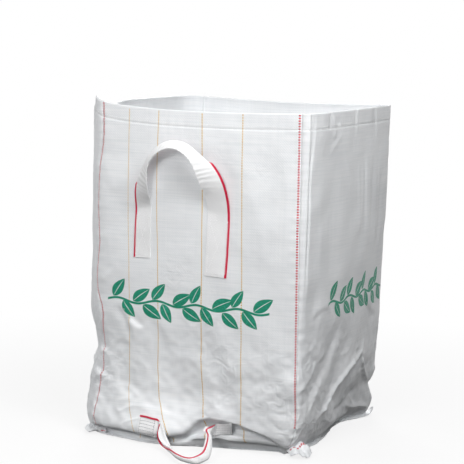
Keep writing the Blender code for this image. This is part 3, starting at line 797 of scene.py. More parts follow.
# The four walls, each one length of cloth with its hem and seam allowances
wallCloth = {
    "thickness": 0.00055,
    "spacing": 0.0040,
    "lipRadius": 0.0021,
    "hemGap": 0.0017,  # from the outside of the wall to the inside of the hem
    "allowance": (0.0006, 0.0024, 0.0055, 0.0090, 0.0120),
    "allowanceFrees": (0.012, 0.012),  # height from which it stands in, and the length that this grows over
    "turnedUnder": (0.010, 0.006, 0.0025),
    "lipSteps": 7,
    "hemRows": (1.5, 4, 8, 13, 19, 25, 30, 32.5, 34, 36),  # millimetres below the rolled lip
    "closeRows": ((0.02, 0.062), (0.680, 0.007), (0.714, 0.006)),  # height and spread of where rows lie closer
    "closeColumns": (0.016, 0.012),  # spread at the pressed fold and beside the seams
    "closer": 0.62,
    "ends": {front: (0, 1), right: (1, 2), back: (2, 3), left: (3, 0)},
    "names": {front: "frontPanel", right: "rightSidePanel", back: "backPanel", left: "leftSidePanel"},
    "nodes": {
        front: ("front_panel", "front_hem"),
        right: ("right_side_panel", "right_hem"),
        back: ("back_panel", "back_hem"),
        left: ("left_side_panel", "left_hem"),
    },
}
floorGap = 0.0004


def rowSpacing(z):
    # close near the floor, the hem's stitch line and the rim, wider between
    fine = np.max([bell(z, *close) for close in wallCloth["closeRows"]], axis=0)
    return wallCloth["spacing"] * (1 - wallCloth["closer"] * np.clip(fine * 1.3, 0, 1))


def columnSpacing(place):
    # close at the pressed fold and beside the seams, wider between
    width = bagShape["width"]
    atFold, besideSeam = wallCloth["closeColumns"]
    fine = bell(place * width, width, atFold)
    for corner in range(4):
        for z in (0.1, 0.6):
            for turn in (0, 4):
                seam = (seamPlace(corner, z) + turn) * width
                fine = np.maximum(fine, 0.9 * bell(place * width, seam, besideSeam))
    return wallCloth["spacing"] / width * (1 - wallCloth["closer"] * np.clip(fine * 1.2, 0, 1))


class WallGrid:
    # one wall: its grid of points, and the way from a place and height to a point on it

    def __init__(self, face):
        self.corners = wallCloth["ends"][face]
        first, last = self.ends(bagShape["height"] / 2, 0.0)
        places = spacedPoints(first, last, columnSpacing)
        self.shares = (places - first) / (last - first)
        top = bagShape["height"] - wallCloth["lipRadius"]
        heights = spacedPoints(floorGap, top, rowSpacing)
        self.ups = (heights - floorGap) / (top - floorGap)

    def ends(self, z, gap=0.0001):
        # the places of its two seams at this height, each kept clear by the gap
        first = seamPlace(self.corners[0], z) + gap / bagShape["width"]
        last = seamPlace(self.corners[1], z) - gap / bagShape["width"]
        return first, last + np.where(last < first, 4, 0)

    def top(self, share):
        # height of the last row of the wall below the rolled lip
        first, last = self.ends(bagShape["height"])
        place = first + (last - first) * share
        return rimHeight(place) - wallCloth["lipRadius"]

    def build(self):
        # rows: turned under, up the wall, half round the rolled lip, and down the hem inside; the hem's depth falls
        # from the lip's by an exponential. Columns: the allowance at one seam, the wall, and the one at the other
        cloth = wallCloth
        tops = self.top(self.shares)
        z = floorGap + (tops - floorGap)[None] * self.ups[:, None]
        first, last = self.ends(z)
        place = first + (last - first) * self.shares[None]
        wall, normal = wallSurface(place, z)

        out = unit(normal[0] * (1, 1, 0))
        under = np.stack([wall[0] - out * reach for reach in cloth["turnedUnder"]])
        under[..., 2] = floorGap * 0.8

        radius = cloth["lipRadius"]
        upward = unit(wall[-1] - wall[-2])
        angles = np.linspace(0, np.pi, cloth["lipSteps"] + 1)[1:, None, None]
        centre = wall[-1] - normal[-1] * radius
        lip = centre + normal[-1] * radius * np.cos(angles) + upward * radius * np.sin(angles)

        run = np.array(cloth["hemRows"])[:, None] / 1000
        hemZ = tops[None] - run
        hemFirst, hemLast = self.ends(hemZ)
        hemPlace = hemFirst + (hemLast - hemFirst) * self.shares[None]
        depth = cloth["hemGap"] + (2 * radius - cloth["hemGap"]) * np.exp(-run / 0.006)
        hem, hemNormal = wallSurface(hemPlace, hemZ, depth)

        wall[..., 2] = np.maximum(wall[..., 2], floorGap)
        points = np.concatenate([under, wall, lip, hem])
        below, above = len(under), len(lip)
        normals = np.concatenate([normal[:1].repeat(below, 0), normal, normal[-1:].repeat(above, 0), hemNormal])
        places = np.concatenate([place[:1].repeat(below, 0), place, place[-1:].repeat(above, 0), hemPlace])
        ups = np.concatenate([z[:1] - np.array(cloth["turnedUnder"])[:, None], z])
        ups = np.concatenate([ups, z[-1:] + radius * angles[..., 0], z[-1:] + radius * np.pi + run])
        self.firstRow = below
        self.lastRow = below + len(wall) - 1

        # seam allowances: both edges go straight into the bag, shallower inside the hem and at the foot
        rowZ = np.concatenate([z[:1].repeat(below, 0), z, z[-1:].repeat(above + len(hem), 0)])
        underHem = tops[None] - clothFolds["hemDepth"]
        free = smoothStep(rowZ, *cloth["allowanceFrees"]) * smoothStep(rowZ, underHem, -0.003)
        sides = []
        for edge, reaches in ((0, cloth["allowance"][::-1]), (-1, cloth["allowance"])):
            for reach in reaches:
                inward = -normals[:, edge] * (reach * (0.08 + 0.92 * free[:, edge]))[:, None]
                sides.append(points[:, edge] + inward)
        count = len(cloth["allowance"])
        before, after = np.stack(sides[:count], 1), np.stack(sides[count:], 1)
        self.firstColumn = count
        self.grid = np.concatenate([before, points, after], 1)
        self.normals = gridNormals(self.grid)
        across = places * bagShape["width"]
        reach = np.array(cloth["allowance"])
        across = np.concatenate([across[:, :1] - reach[::-1], across, across[:, -1:] + reach], 1)
        ups = np.concatenate([ups[:, :1].repeat(count, 1), ups, ups[:, -1:].repeat(count, 1)], 1)
        self.uv = np.stack([across, ups], -1)

    def at(self, place, z, lift):
        # the point of the wall's own mesh at this place and height, raised by the lift
        place, z = np.broadcast_arrays(np.asarray(place, float), np.asarray(z, float))
        first, last = self.ends(z)
        share = (place - first) / (last - first)
        up = (z - floorGap) / (self.top(share) - floorGap)
        row = np.interp(up, self.ups, np.arange(len(self.ups))) + self.firstRow
        column = np.interp(share, self.shares, np.arange(len(self.shares))) + self.firstColumn
        return onGrid(self.grid, self.normals, row, column, lift)


walls = {}
for face in (front, right, back, left):
    wall = WallGrid(face)
    wall.build()
    walls[face] = wall
    piece = addSheet(wallCloth["names"][face], wall.grid, wallCloth["thickness"], wovenPolypropylene, wall.uv)
    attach(piece, "bag")
    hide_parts(*wallCloth["nodes"][face])
    print(piece.name, wall.grid.shape, "points")

# Base: a sheet drawn between the feet of the four walls, flat where it stands
baseCloth = {
    "thickness": 0.0006,
    "clear": 0.0026,
    "meets": 0.0030,  # height at which it meets the walls
    "height": 0.0012,
    "edgeLift": (0.0014, 0.04),  # height, and share of the width from the edge
    "ripple": (0.0010, 0.09, 0.06),  # height, wavelength, and share of the width from the edge
    "cells": 90,
}


def buildBase():
    # a Coons patch: the mean of the two ruled sheets between opposite walls, less the one between the corners
    def foot(place):
        base, out = wallSurface(place, np.full_like(place, baseCloth["meets"]))
        return (base - unit(out * (1, 1, 0)) * baseCloth["clear"])[:, :2]

    share = np.linspace(0, 1, baseCloth["cells"] + 1)
    nearEdge, farEdge = foot(share), foot(3 - share)
    leftEdge, rightEdge = foot(4 - share), foot(1 + share)
    u, v = share[None, :, None], share[:, None, None]
    flat = (1 - v) * nearEdge[None] + v * farEdge[None] + (1 - u) * leftEdge[:, None] + u * rightEdge[:, None]
    flat -= (1 - u) * (1 - v) * nearEdge[0] + u * (1 - v) * nearEdge[-1]
    flat -= (1 - u) * v * farEdge[0] + u * v * farEdge[-1]
    margin = np.minimum(np.minimum(u, 1 - u), np.minimum(v, 1 - v))[..., 0]
    flatPoints = np.concatenate([flat, np.zeros_like(flat[..., :1])], -1)
    size, length, reach = baseCloth["ripple"]
    ripple = size * np.abs(clothNoise(flatPoints, length, 17)) * smoothStep(margin, 0, reach)
    lift, reach = baseCloth["edgeLift"]
    z = baseCloth["height"] + lift * (1 - smoothStep(margin, 0, reach)) + ripple
    return np.concatenate([flat, z[..., None]], -1)


baseGrid = buildBase()
basePanel = addSheet("basePanel", baseGrid, baseCloth["thickness"], wovenPolypropylene, baseGrid[..., :2])
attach(basePanel, "bag")
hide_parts("base_panel")
print("base made")

# Overlock thread round the raw edges of each upright seam allowance, inside the bag
seamBinding = {
    "profile": ((-5.5, 1.0), (-2.0, 1.2), (0.6, 0.95), (1.3, 0.0), (0.6, -0.95), (-2.0, -1.2), (-5.5, -1.0)),
    "stitch": 0.0034,
    "swell": 0.16,  # share by which each stitch widens it
    "step": 0.0008,
    "foot": 0.028,  # height at which it starts
    "belowHem": 0.007,
    "names": ("frontLeftSeam", "frontRightSeam", "backRightSeam", "backLeftSeam"),
    "nodes": ("front_left_seam", "front_right_seam", "back_right_seam", "back_left_seam"),
}


def buildBinding(corner):
    # a U profile carried up the edge of the allowance, swelling and narrowing with each stitch
    before = walls[(corner - 1) % 4]
    after = walls[corner]
    tip = (before.grid[:, -1] + after.grid[:, 0]) / 2
    inner = (before.grid[:, -3] + after.grid[:, 2]) / 2
    rows = slice(before.firstRow, before.lastRow)
    tip, inner = tip[rows], inner[rows]
    top = rimHeight(seamPlace(corner, 0.7)) - clothFolds["hemDepth"] - seamBinding["belowHem"]
    z = np.arange(seamBinding["foot"], top, seamBinding["step"])
    tip, inner = (np.stack([np.interp(z, p[:, 2], p[:, axis]) for axis in range(3)], -1) for p in (tip, inner))
    inward = unit(tip - inner)
    sideways = np.cross((0, 0, 1.0), inward)
    profile = np.array(seamBinding["profile"]) / 1000
    swell = 1 + seamBinding["swell"] * np.sin(2 * np.pi * z / seamBinding["stitch"])
    grid = tip[:, None] + inward[:, None] * profile[None, :, :1]
    grid = grid + sideways[:, None] * (profile[None, :, 1:] * swell[:, None, None])
    return grid[:, ::-1]


for corner, (name, node) in enumerate(zip(seamBinding["names"], seamBinding["nodes"])):
    grid = buildBinding(corner)
    piece = addSheet(name, grid, 0.0003, whiteThread, grid[..., 1:])
    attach(piece, "bag")
    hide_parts(node)

# Seam allowances outside, along the foot of each side, ruffled, with an ear at each corner
footSeam = {
    "width": 0.010,
    "ear": (0.018, 0.10),  # further reach at the corners, and the share of the side that it takes
    "leave": 0.006,  # height at which it leaves the wall
    "offWall": 0.0008,
    "edge": 0.0015,  # height of its raw edge
    "thickness": 0.0012,
    "ruffle": (0.0016, 0.034),  # height, wavelength
    "wavers": 0.12,  # share of the width that it gains and loses with the ruffle
    "curl": 0.009,
    "stitch": (0.0002, 0.0040),  # height, pitch
    # at the front corners: further reach, crumpling, and how much higher it leaves the wall
    "frontEar": {right: (0.018, 0.0105, 0.015), left: (-0.003, 0.0050, 0.006)},
    "frontEarShares": (0.030, 0.050, 0.130),  # of the side: where it has risen, where it falls, and for how long
    "buckles": (0.030, 0.056),  # wavelength of the noise and of the folds in the crumpled front ears
    "steps": (420, 9),
}


def buildFootSeam(face):
    # from the wall out to the raw edge, with q the share of the way: the height falls by a power of 1 less q;
    # height and reach wave along it, its ears curl up, and the front ears are buckled by a sine squared and noise
    seam = footSeam
    first, last = walls[face].ends(seam["leave"])
    alongSteps, outSteps = seam["steps"]
    place = np.linspace(float(first), float(last), alongSteps)
    fromFront = place - face if face == right else 1 - place + face
    rises, falls, over = seam["frontEarShares"]
    rising = smoothStep(fromFront, -rises, 2 * rises)
    nearFront = rising * (1 - smoothStep(fromFront, falls, over))
    further, crumple, higher = seam["frontEar"][face]
    leave = seam["leave"] + higher * nearFront
    inner, normal = wallSurface(place, leave)
    out = unit(normal * (1, 1, 0))
    run = runAlong(inner)
    share = place - face
    ear, earShare = seam["ear"]
    nearEnd = np.clip(1 - np.minimum(share, 1 - share) / earShare, 0, 1) ** 2
    nearEnd = nearEnd * np.where(fromFront < 0.5, rising, 1)
    ruffle, length = seam["ruffle"]
    wave = np.sin(2 * np.pi * run / length + 2.2 * np.sin(run * 31))
    q = np.linspace(0, 1, outSteps)[None, :, None]
    reach = (seam["width"] * (1 + seam["wavers"] * wave) + ear * nearEnd + further * nearFront)[:, None, None]
    points = inner[:, None] + out[:, None] * (seam["offWall"] + reach * q)
    steep = 1.4 - 0.7 * nearFront[:, None]
    z = leave[:, None] * (1 - q[..., 0]) ** steep + seam["edge"] * q[..., 0]
    z = z + ruffle * q[..., 0] ** 2 * (1 + wave[:, None]) * (0.5 + 1.5 * nearEnd[:, None])
    z = z + seam["curl"] * (nearEnd - 0.8 * nearFront).clip(0)[:, None] * q[..., 0] ** 3
    noise, folds = seam["buckles"]
    buckle = 0.6 * np.abs(clothNoise(points, noise, 61)) + 0.8 * np.sin(2 * np.pi * run / folds + 0.9)[:, None] ** 2
    z = z + crumple * nearFront[:, None] * buckle * np.sin(np.pi * np.clip(q[..., 0], 0, 0.86)) ** 0.7
    size, pitch = seam["stitch"]
    z = z + size * np.sin(2 * np.pi * run / pitch)[:, None] * (q[..., 0] > 0.55)
    points[..., 2] = z
    uv = np.stack([run[:, None] + 0 * z, 0.3 + reach[..., 0] * q[..., 0]], -1)
    return points, uv, run


ears = {}
for face, name, node in ((right, "rightFootSeam", "right_base_seam"), (left, "leftFootSeam", "left_base_seam")):
    grid, uv, run = buildFootSeam(face)
    ears[face] = (grid, run)
    piece = addSheet(name, grid[::-1], footSeam["thickness"], wovenPolypropylene, uv[::-1])
    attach(piece, "bag")
    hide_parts(node)
print("seams made")

# Carry handles: one length of webbing each, sewn down at both ends; the arch leans out and its outer edge curls
carryHandle = {
    "width": 0.050,
    "thickness": 0.0013,
    "span": 0.176,
    "shift": -0.026,
    "feet": (0.094, 0.121),  # length sewn down, left and right
    "hinge": 0.488,
    "rise": 0.152,
    "tilt": 68.0,
    # left leg, middle or right leg, millimetres to the right of it, and height, which is a share of the rise or,
    # below 0, of the length sewn down
    "line": (
        *((-1, 0, -1), (-1, 0, -0.6), (-1, 0, -0.25), (-1, 0, 0), (-1, 1, 0.30), (-1, 12, 0.64), (-1, 34, 0.88)),
        *((0, -20, 1), (0, 16, 0.97), (1, -36, 0.78), (1, -12, 0.50), (1, -2, 0.24), (1, 0, 0), (1, 0, -0.25)),
        *((1, -1, -0.6), (1, -3, -1)),
    ),
    # shares of the free part: where each starts or ends, and what it grows over; the last two from both ends
    "leans": ((-0.02, 0.36), (0.90, -0.30)),
    "curls": ((0.15, 0.06), (0.72, -0.06)),
    "narrowUntil": (0.04, 0.26),
    "offFace": (0.02, 0.10),
    "liftedFrom": (0.08, 0.12),
    "lifted": 0.0052,  # how far the inner edge stands off
    "narrowed": 0.24,  # share of its width that the left end loses
    "squeezed": 0.62,  # share of its width that the strap keeps where it is rolled
    "pucker": (0.0013, 0.0105),  # height, wavelength
    # millimetres across from the middle, closer together where the outer edge curls under
    "across": (-25, -24, -23, -22, -21, -20, -19, -18, -17, -16, -13, -9.5, -6, -2, 2, 6, 10, 14, 18, 21.5, 25),
    "curl": (-0.0165, 0.0019),  # place across where it starts, and radius
    "dashes": (0.0042, 0.0031, 0.0008, 0.0004),  # of the stitching: pitch, length, width, height
    "stitchedFrom": 0.002,  # distance from the webbing's end
    "bends": (0.478, 0.500),  # heights between which it would bend when it is swung; nothing here uses them
    "steps": 300,
}
joints = {joint["name"]: joint for joint in frame["joints"]}


class Strap:
    # a strap: its grid, with distances along it and across it, and the way from those to a point on it

    def __init__(self, grid, along, across):
        self.grid, self.along, self.across = grid, along, across
        self.normals = gridNormals(grid)
        self.uv = np.stack(np.broadcast_arrays(across[None, :], along[:, None]), -1)

    def at(self, along, across, lift):
        row = np.interp(along, self.along, np.arange(len(self.along)))
        column = np.interp(across, self.across, np.arange(len(self.across)))
        return onGrid(self.grid, self.normals, row, column, lift)


def buildCarryHandle(face):
    # up one side, over and down the other on a smooth curve; the free part leans out by the tilt, and its outer
    # edge runs on as a circle, so that it curls under
    shape = carryHandle
    half, rise = shape["width"] / 2, shape["rise"]
    foot, farFoot = shape["feet"]
    side, distance, height = np.array(shape["line"]).T
    x = shape["shift"] + side * shape["span"] / 2 + distance / 1000
    z = height * np.where(height > 0, rise, np.where(side < 0, foot, farFoot))
    path = smoothPath(np.stack([x, z], -1), shape["steps"])
    along = unit(np.gradient(path, axis=0))
    run = runAlong(path)
    inwards = np.stack([along[:, 1], -along[:, 0]], -1)
    share = np.clip((run - foot) / (run[-1] - foot - farFoot), 0, 1)
    inner = np.minimum(share, 1 - share)
    lean = np.prod([smoothStep(share, *growing) for growing in shape["leans"]], axis=0)
    tilt = np.radians(shape["tilt"]) * lean
    across = np.array(shape["across"]) / 1000
    start, radius = shape["curl"]
    edge = np.clip(start - across, 0, None)[None]
    curl = np.prod([smoothStep(share, *growing) for growing in shape["curls"]], axis=0)
    bend = (1e-3 + curl)[:, None] / radius
    curled = np.where(across < start, start - np.sin(bend * edge) / bend, across)
    dropped = np.where(across < start, (1 - np.cos(bend * edge)) / bend, 0)
    lifted = shape["lifted"] * smoothStep(inner, *shape["liftedFrom"])[:, None]
    cosine, sine = np.cos(tilt)[:, None], np.sin(tilt)[:, None]
    narrow = 1 - shape["narrowed"] * (1 - smoothStep(share, *shape["narrowUntil"]))[:, None]
    offset = (curled * cosine + dropped * sine) * narrow
    stands = (curled + half) * sine * shape["squeezed"] - dropped * cosine + lifted
    size, length = shape["pucker"]
    phase = 2 * np.pi * run / length + 2.6 * np.sin(run * 43) + 1.4 * np.sin(run * 131)
    phase = phase[:, None] + across[None] * 120
    stands = stands + size * lean[:, None] * np.sin(phase) * (0.45 + 14 * (across[None] + 0.025))
    x = path[:, :1] + inwards[:, :1] * offset
    up = shape["hinge"] + path[:, 1:] + inwards[:, 1:] * offset
    place = facePlace(face, x, up)
    cloth = walls[face].at(place, up, np.full_like(x, 0.0003 + shape["thickness"]))
    sign = -1 if face == front else 1
    hingeY = joints["front_handle_swing" if face == front else "back_handle_swing"]["pos_m"][1]
    free = smoothStep(inner, *shape["offFace"])[:, None]
    y = cloth[..., 1] * (1 - free) + (hingeY + sign * (stands + 0.0006)) * free
    y = sign * np.maximum(sign * y, sign * cloth[..., 1])
    grid = np.stack([x if face == front else -x, y, up], -1)
    return Strap(grid, run, across)


def stitchPaths(low, high, half, inset=0.004):
    # a box and a cross, as lines of (along, across), set in from the edges
    a, b, c, d = low + inset, high - inset, -half + inset, half - inset
    box = [((a, c), (b, c)), ((b, c), (b, d)), ((b, d), (a, d)), ((a, d), (a, c))]
    return box + [((a, c), (b, d)), ((a, d), (b, c))]


def layDashes(surface, line, pitch, length, width, height, sunk=0.0002):
    # small domed dashes evenly along a line on a surface: each a grid 5 long and 5 wide, raised by height times
    # 1 less twice the square of the share of its width, and sunk at its edges
    line = np.asarray(line, float)
    run = runAlong(line)
    at = np.arange(pitch / 2, run[-1], pitch)
    centre = np.stack([np.interp(at, run, line[:, axis]) for axis in (0, 1)], -1)
    ahead = np.stack([np.interp(at + 0.0008, run, line[:, axis]) for axis in (0, 1)], -1)
    behind = np.stack([np.interp(at - 0.0008, run, line[:, axis]) for axis in (0, 1)], -1)
    along = unit(ahead - behind)
    beside = np.stack([-along[:, 1], along[:, 0]], -1)
    u = np.array([-0.5, -0.38, 0, 0.38, 0.5])[:, None]
    v = np.array([-0.5, -0.36, 0, 0.36, 0.5])[None]
    flat = centre[:, None, None] + along[:, None, None] * (u * length)[None, ..., None]
    flat = flat + beside[:, None, None] * (v * width)[None, ..., None]
    inside = (np.abs(u) < 0.45) & (np.abs(v) < 0.45)
    raised = np.where(inside, height * (1 - 2 * v**2), -sunk)
    return surface(flat[..., 0], flat[..., 1], np.broadcast_to(raised, flat.shape[:-1]))


def onWall(face):
    # the surface of a wall as (distance round the bag, height)
    return lambda across, z, lift: walls[face].at(across / bagShape["width"], z, lift)


def dashPiece(name, parts, material):
    # all dashes of one kind as one piece of the bag
    piece = addPatches(name, np.concatenate(parts), material)
    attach(piece, "bag")


strapLengths = {}
for face, label, name in ((front, "frontHandle", "front_handle"), (back, "backHandle", "back_handle")):
    strap = buildCarryHandle(face)
    piece = addSheet(label, strap.grid, carryHandle["thickness"], carryWebbing, strap.uv)
    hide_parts(f"{name}_left_end", f"{name}_right_end", f"{name}_loop")
    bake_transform(piece)
    total = strapLengths[label] = float(strap.along[-1])
    foot, farFoot = carryHandle["feet"]
    half, start = carryHandle["width"] / 2, carryHandle["stitchedFrom"]
    lines = stitchPaths(start, foot, half) + stitchPaths(total - farFoot, total - start, half)
    parts = [layDashes(strap.at, line, *carryHandle["dashes"]) for line in lines]
    dashPiece(f"{label}Stitching", parts, whiteThread)
print("carry handles made")

# Tipping handle: folded along its length where it is free. Each station is the edge with the stripe, then the
# folded edge, in millimetres; the strap turns over as it leaves the left end and again where it meets the floor
tippingHandle = {
    "thickness": 0.0013,
    "moved": (-0.003, 0.005),  # of the whole handle, sideways and up
    "sewnLeft": ((-96, 53, 19), (-82, 52, 19), (-66, 50, 18), (-54, 49, 17)),  # x, top, bottom
    "free": (
        ((-48, -292, 47), (-43, -294, 44)),
        ((-46, -300, 35), (-33, -301, 37)),
        ((-44, -309, 24), (-24, -309, 24)),
        ((-35, -319, 13), (-12, -318, 12)),
        ((-20, -331, 7), (-4, -326, 5)),
        ((-2, -346, 8), (6, -342, 2.5)),
        ((16, -363, 10), (18, -362, 2)),
        ((42, -390, 11), (47, -396, 2)),
        ((67, -407, 11), (76, -412, 2)),
        ((84, -410, 12), (97, -411, 2)),
        ((89, -394, 13), (102, -393, 3)),
        ((92, -377, 16), (107, -377, 7)),
        ((90, -358, 22), (104, -359, 15)),
        ((84, -335, 31), (95, -336, 26)),
        ((76, -315, 39), (86, -317, 34)),
        ((66, -302, 46), (76, -303, 38)),
    ),
    "sewnRight": ((66, 55, 24), (78, 56, 25), (92, 57, 26), (107, 58, 27)),
    # the fold across: share of the width, place between the two edges, and depth behind in millimetres
    "fold": (
        *((0, 0, 0), (0.06, 0.12, 0), (0.13, 0.26, 0), (0.20, 0.4, 0), (0.27, 0.54, 0), (0.34, 0.68, 0)),
        *((0.41, 0.82, 0), (0.46, 0.93, 0), (0.485, 0.985, 0.4), (0.505, 1.0, 1.45), (0.525, 0.985, 2.5)),
        *((0.55, 0.93, 2.9), (0.61, 0.80, 2.9), (0.70, 0.61, 2.9), (0.79, 0.42, 2.9), (0.88, 0.23, 2.9)),
        *((0.95, 0.08, 2.9), (1, 0, 2.9)),
    ),
    # how far the second ply goes past the stripe, in millimetres, over the share of the length
    "margins": ((0, 0.45, 0.60, 0.68, 1), (-3.5, -3.5, -1.0, 4.5, 4.5)),
    "steps": 240,
    "width": 0.038,
    "bulge": 0.0030,
    "leaves": (0.044, 0.050, 0.03),  # distances from its ends where it leaves the cloth, and over what length
    "secondPly": 0.61,  # share of the width where it starts
    "offCloth": 0.0007,
    "offFloor": 0.0016,
    # on the right sewn end the edge with the stripe is turned under, so the stripe slides off: by how much, at
    # what distance from the end, and over what length
    "stripeSlides": (0.008, 0.050, 0.006),
    "rows": (-0.0145, 0.0165, 6),  # of stitches on each sewn end: first, last and number
    "sewn": (0.003, 0.038, 0.040),  # how far in the stitches start, and how far they go on the left and the right
    "dashes": (0.0040, 0.0034, 0.0015, 0.0017),
    "bends": (0.004, 0.026),  # distances in front of the hinge between which it would bend; nothing here uses them
}


def buildTippingHandle():
    # sewn: straight lines between the two edges. Free: out to the folded edge and back behind, bowed outwards by a
    # half sine; the second ply ends a little short of the stripe or beyond it
    shape = tippingHandle
    sideways, upwards = shape["moved"]
    lift = np.array([shape["offCloth"] + shape["thickness"]])

    def sewn(rows):
        edges = []
        for x, top, bottom in rows:
            pair = []
            for z in (top, bottom):
                height = np.array([z / 1000 + upwards])
                place = facePlace(front, np.array([x / 1000 + sideways]), height)
                pair.append(walls[front].at(place, height, lift)[0])
            edges.append(np.concatenate(pair))
        return edges

    free = [np.array(a + b) / 1000 + (sideways, 0, upwards) * 2 for a, b in shape["free"]]
    path = smoothPath(sewn(shape["sewnLeft"]) + free + sewn(shape["sewnRight"]), shape["steps"])
    middle = (path[:, :3] + path[:, 3:]) / 2
    run = runAlong(middle)
    along = np.gradient(middle, axis=0)
    wide = path[:, 3:] - path[:, :3]
    face = np.cross(wide, along)
    face /= np.linalg.norm(face, axis=1, keepdims=True) + 1e-9
    atLeft, atRight, over = shape["leaves"]
    isFree = smoothStep(run, atLeft, over) * smoothStep(run, run[-1] - atRight, -over)
    flatShare, folded, behind = np.array(shape["fold"]).T
    spans = np.linalg.norm(wide, axis=1)
    margin = np.interp(run / run[-1], *shape["margins"]) / 1000 / spans
    second = np.clip((flatShare - shape["secondPly"]) / (1 - shape["secondPly"]), 0, 1)
    place = folded[None] - margin[:, None] * second[None]
    place = flatShare[None] * (1 - isFree[:, None]) + place * isFree[:, None]
    depth = (np.sin(np.pi * folded) * shape["bulge"] - behind / 1000)[None] * isFree[:, None]
    grid = path[:, None, :3] + wide[:, None] * place[..., None] + face[:, None] * depth[..., None]
    across = shape["width"] * (flatShare - 0.5)

    # the sewn ends lie on the cloth all the way across
    place = facePlace(front, grid[..., 0], grid[..., 2])
    up = np.clip(grid[..., 2], floorGap, 0.1)
    cloth = walls[front].at(place, up, np.full(place.shape, float(lift[0]) - 0.0003))
    grid[..., 1] = np.minimum(grid[..., 1], np.where(isFree[:, None] < 0.5, cloth[..., 1], grid[..., 1]))
    grid[..., 2] = np.maximum(grid[..., 2], shape["offFloor"])
    return Strap(grid, run, across)


strap = buildTippingHandle()
slide, fromEnd, length = tippingHandle["stripeSlides"]
strap.uv[..., 0] += slide * smoothStep(strap.along, strap.along[-1] - fromEnd, length)[:, None]
piece = addSheet("tippingHandle", strap.grid[:, ::-1], tippingHandle["thickness"], tippingWebbing, strap.uv[:, ::-1])
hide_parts("tipping_handle_left_end", "tipping_handle_right_end", "tipping_handle_loop")
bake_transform(piece)
total = strapLengths["tippingHandle"] = float(strap.along[-1])
inset, leftUntil, rightFrom = tippingHandle["sewn"]
firstRow, lastRow, count = tippingHandle["rows"]
lines = []
for start, finish in ((inset, leftUntil), (total - rightFrom, total - inset)):
    # rows of stitches along each sewn end, and one across at either side of them
    lines += [((start, row), (finish, row)) for row in np.linspace(firstRow, lastRow, count)]
    lines += [((start, firstRow), (start, lastRow)), ((finish, firstRow), (finish, lastRow))]
parts = [layDashes(strap.at, line, *tippingHandle["dashes"]) for line in lines]
# the stitches on the sewn ends use the grey thread, whose colour is painted shade of their grooves
dashPiece("tippingHandleStitching", parts, paintedShadeThread)
print("tipping handle made")

# Marker tapes woven into the cloth: they show over one cross tape and pass under the next. The points of their
# lines are in millimetres, from the floor up
tapePitch = 0.00546
markerTapes = {
    "red": {
        "dashes": (tapePitch, 0.0035, 0.0048, 0.0003),  # pitch, length, width, height
        "beside": 0.0040,  # distance from the seam
        "starts": (0.004, 0.060, 0.004, 0.004),
        "belowRim": 0.001,
        "names": ("frontLeftRedTape", "frontRightRedTape", "backRightRedTape", "backLeftRedTape"),
    },
    # over the ears: along from the front corner, and out from the wall
    "ears": {
        right: ((3, 14), (12, 12), (22, 13), (34, 18), (42, 27), (47, 36)),
        left: ((2, 6), (8, 14), (10, 26)),
    },
    "earDashes": (tapePitch, 0.0040, 0.0050, footSeam["thickness"] + 0.0006),
    "earReach": 0.040,
    # length and width of the dashes, then height on the front and distance to the right of the middle
    "yellow": (
        (
            (0.0042, 0.0015),
            *((4, -104), (29, -113), (62, -128), (107, -140), (259, -142)),
            *((377, -144), (476, -151), (575, -154), (712, -155)),
        ),
        (
            (0.0047, 0.0018),
            *((4, -22), (22, -28), (54, -46), (98, -65), (165, -73), (339, -76), (547, -84), (706, -85)),
        ),
        ((0.0050, 0.0022), (4, 48), (68, 39), (120, 33), (193, 28), (359, 27), (553, 21), (709, 15)),
        ((0.0038, 0.0026), (4, 132), (55, 124), (202, 119), (364, 117), (559, 112), (711, 107)),
    ),
    "yellowHeight": 0.00022,
    "foot": 0.004,
    "steps": 500,
}


def addMarkerTapes():
    # red beside each upright seam and over both front ears; yellow on the front, straight up on the back
    red, foot = markerTapes["red"], markerTapes["foot"]
    z = np.linspace(foot, 1, markerTapes["steps"])
    for corner, face in ((0, front), (1, front), (2, back), (3, back)):
        toRim = rimHeight(seamPlace(corner, 0.71)) - red["belowRim"]
        start = red["starts"][corner]
        height = start + (toRim - start) * z
        side = 1 if corner in (0, 2) else -1
        place = seamPlace(corner, height) + side * red["beside"] / bagShape["width"]
        line = np.stack([place * bagShape["width"], height], -1)
        parts = [layDashes(onWall(face), line, *red["dashes"])]
        dashPiece(red["names"][corner], parts, redTape)
    parts = []
    for (shows, width), *known in markerTapes["yellow"]:
        known = np.array(known, float) / 1000
        for face, sign in ((front, 1), (back, -1)):
            top = rimHeight(face + 0.5) + 0.002
            height = foot + (top - foot) * z
            x = np.interp(height, known[:, 0], known[:, 1])
            x = sign * x if face == front else sign * np.full_like(x, known[0, 1])
            place = facePlace(face, x, height)
            keep = height < rimHeight(place) - 0.0025
            line = np.stack([place * bagShape["width"], height], -1)[keep]
            parts.append(layDashes(onWall(face), line, tapePitch, shows, width, markerTapes["yellowHeight"]))
    dashPiece("yellowTapes", parts, yellowTape)
    for face, (grid, run) in ears.items():
        ear = Strap(grid, run, np.linspace(0, markerTapes["earReach"], grid.shape[1]))
        line = np.array(markerTapes["ears"][face]) / 1000
        line[:, 0] = line[:, 0] if face == right else run[-1] - line[:, 0]
        parts = [layDashes(ear.at, smoothPath(line, 40), *markerTapes["earDashes"])]
        name = "rightEarRedTape" if face == right else "leftEarRedTape"
        dashPiece(name, parts, redTape)


addMarkerTapes()

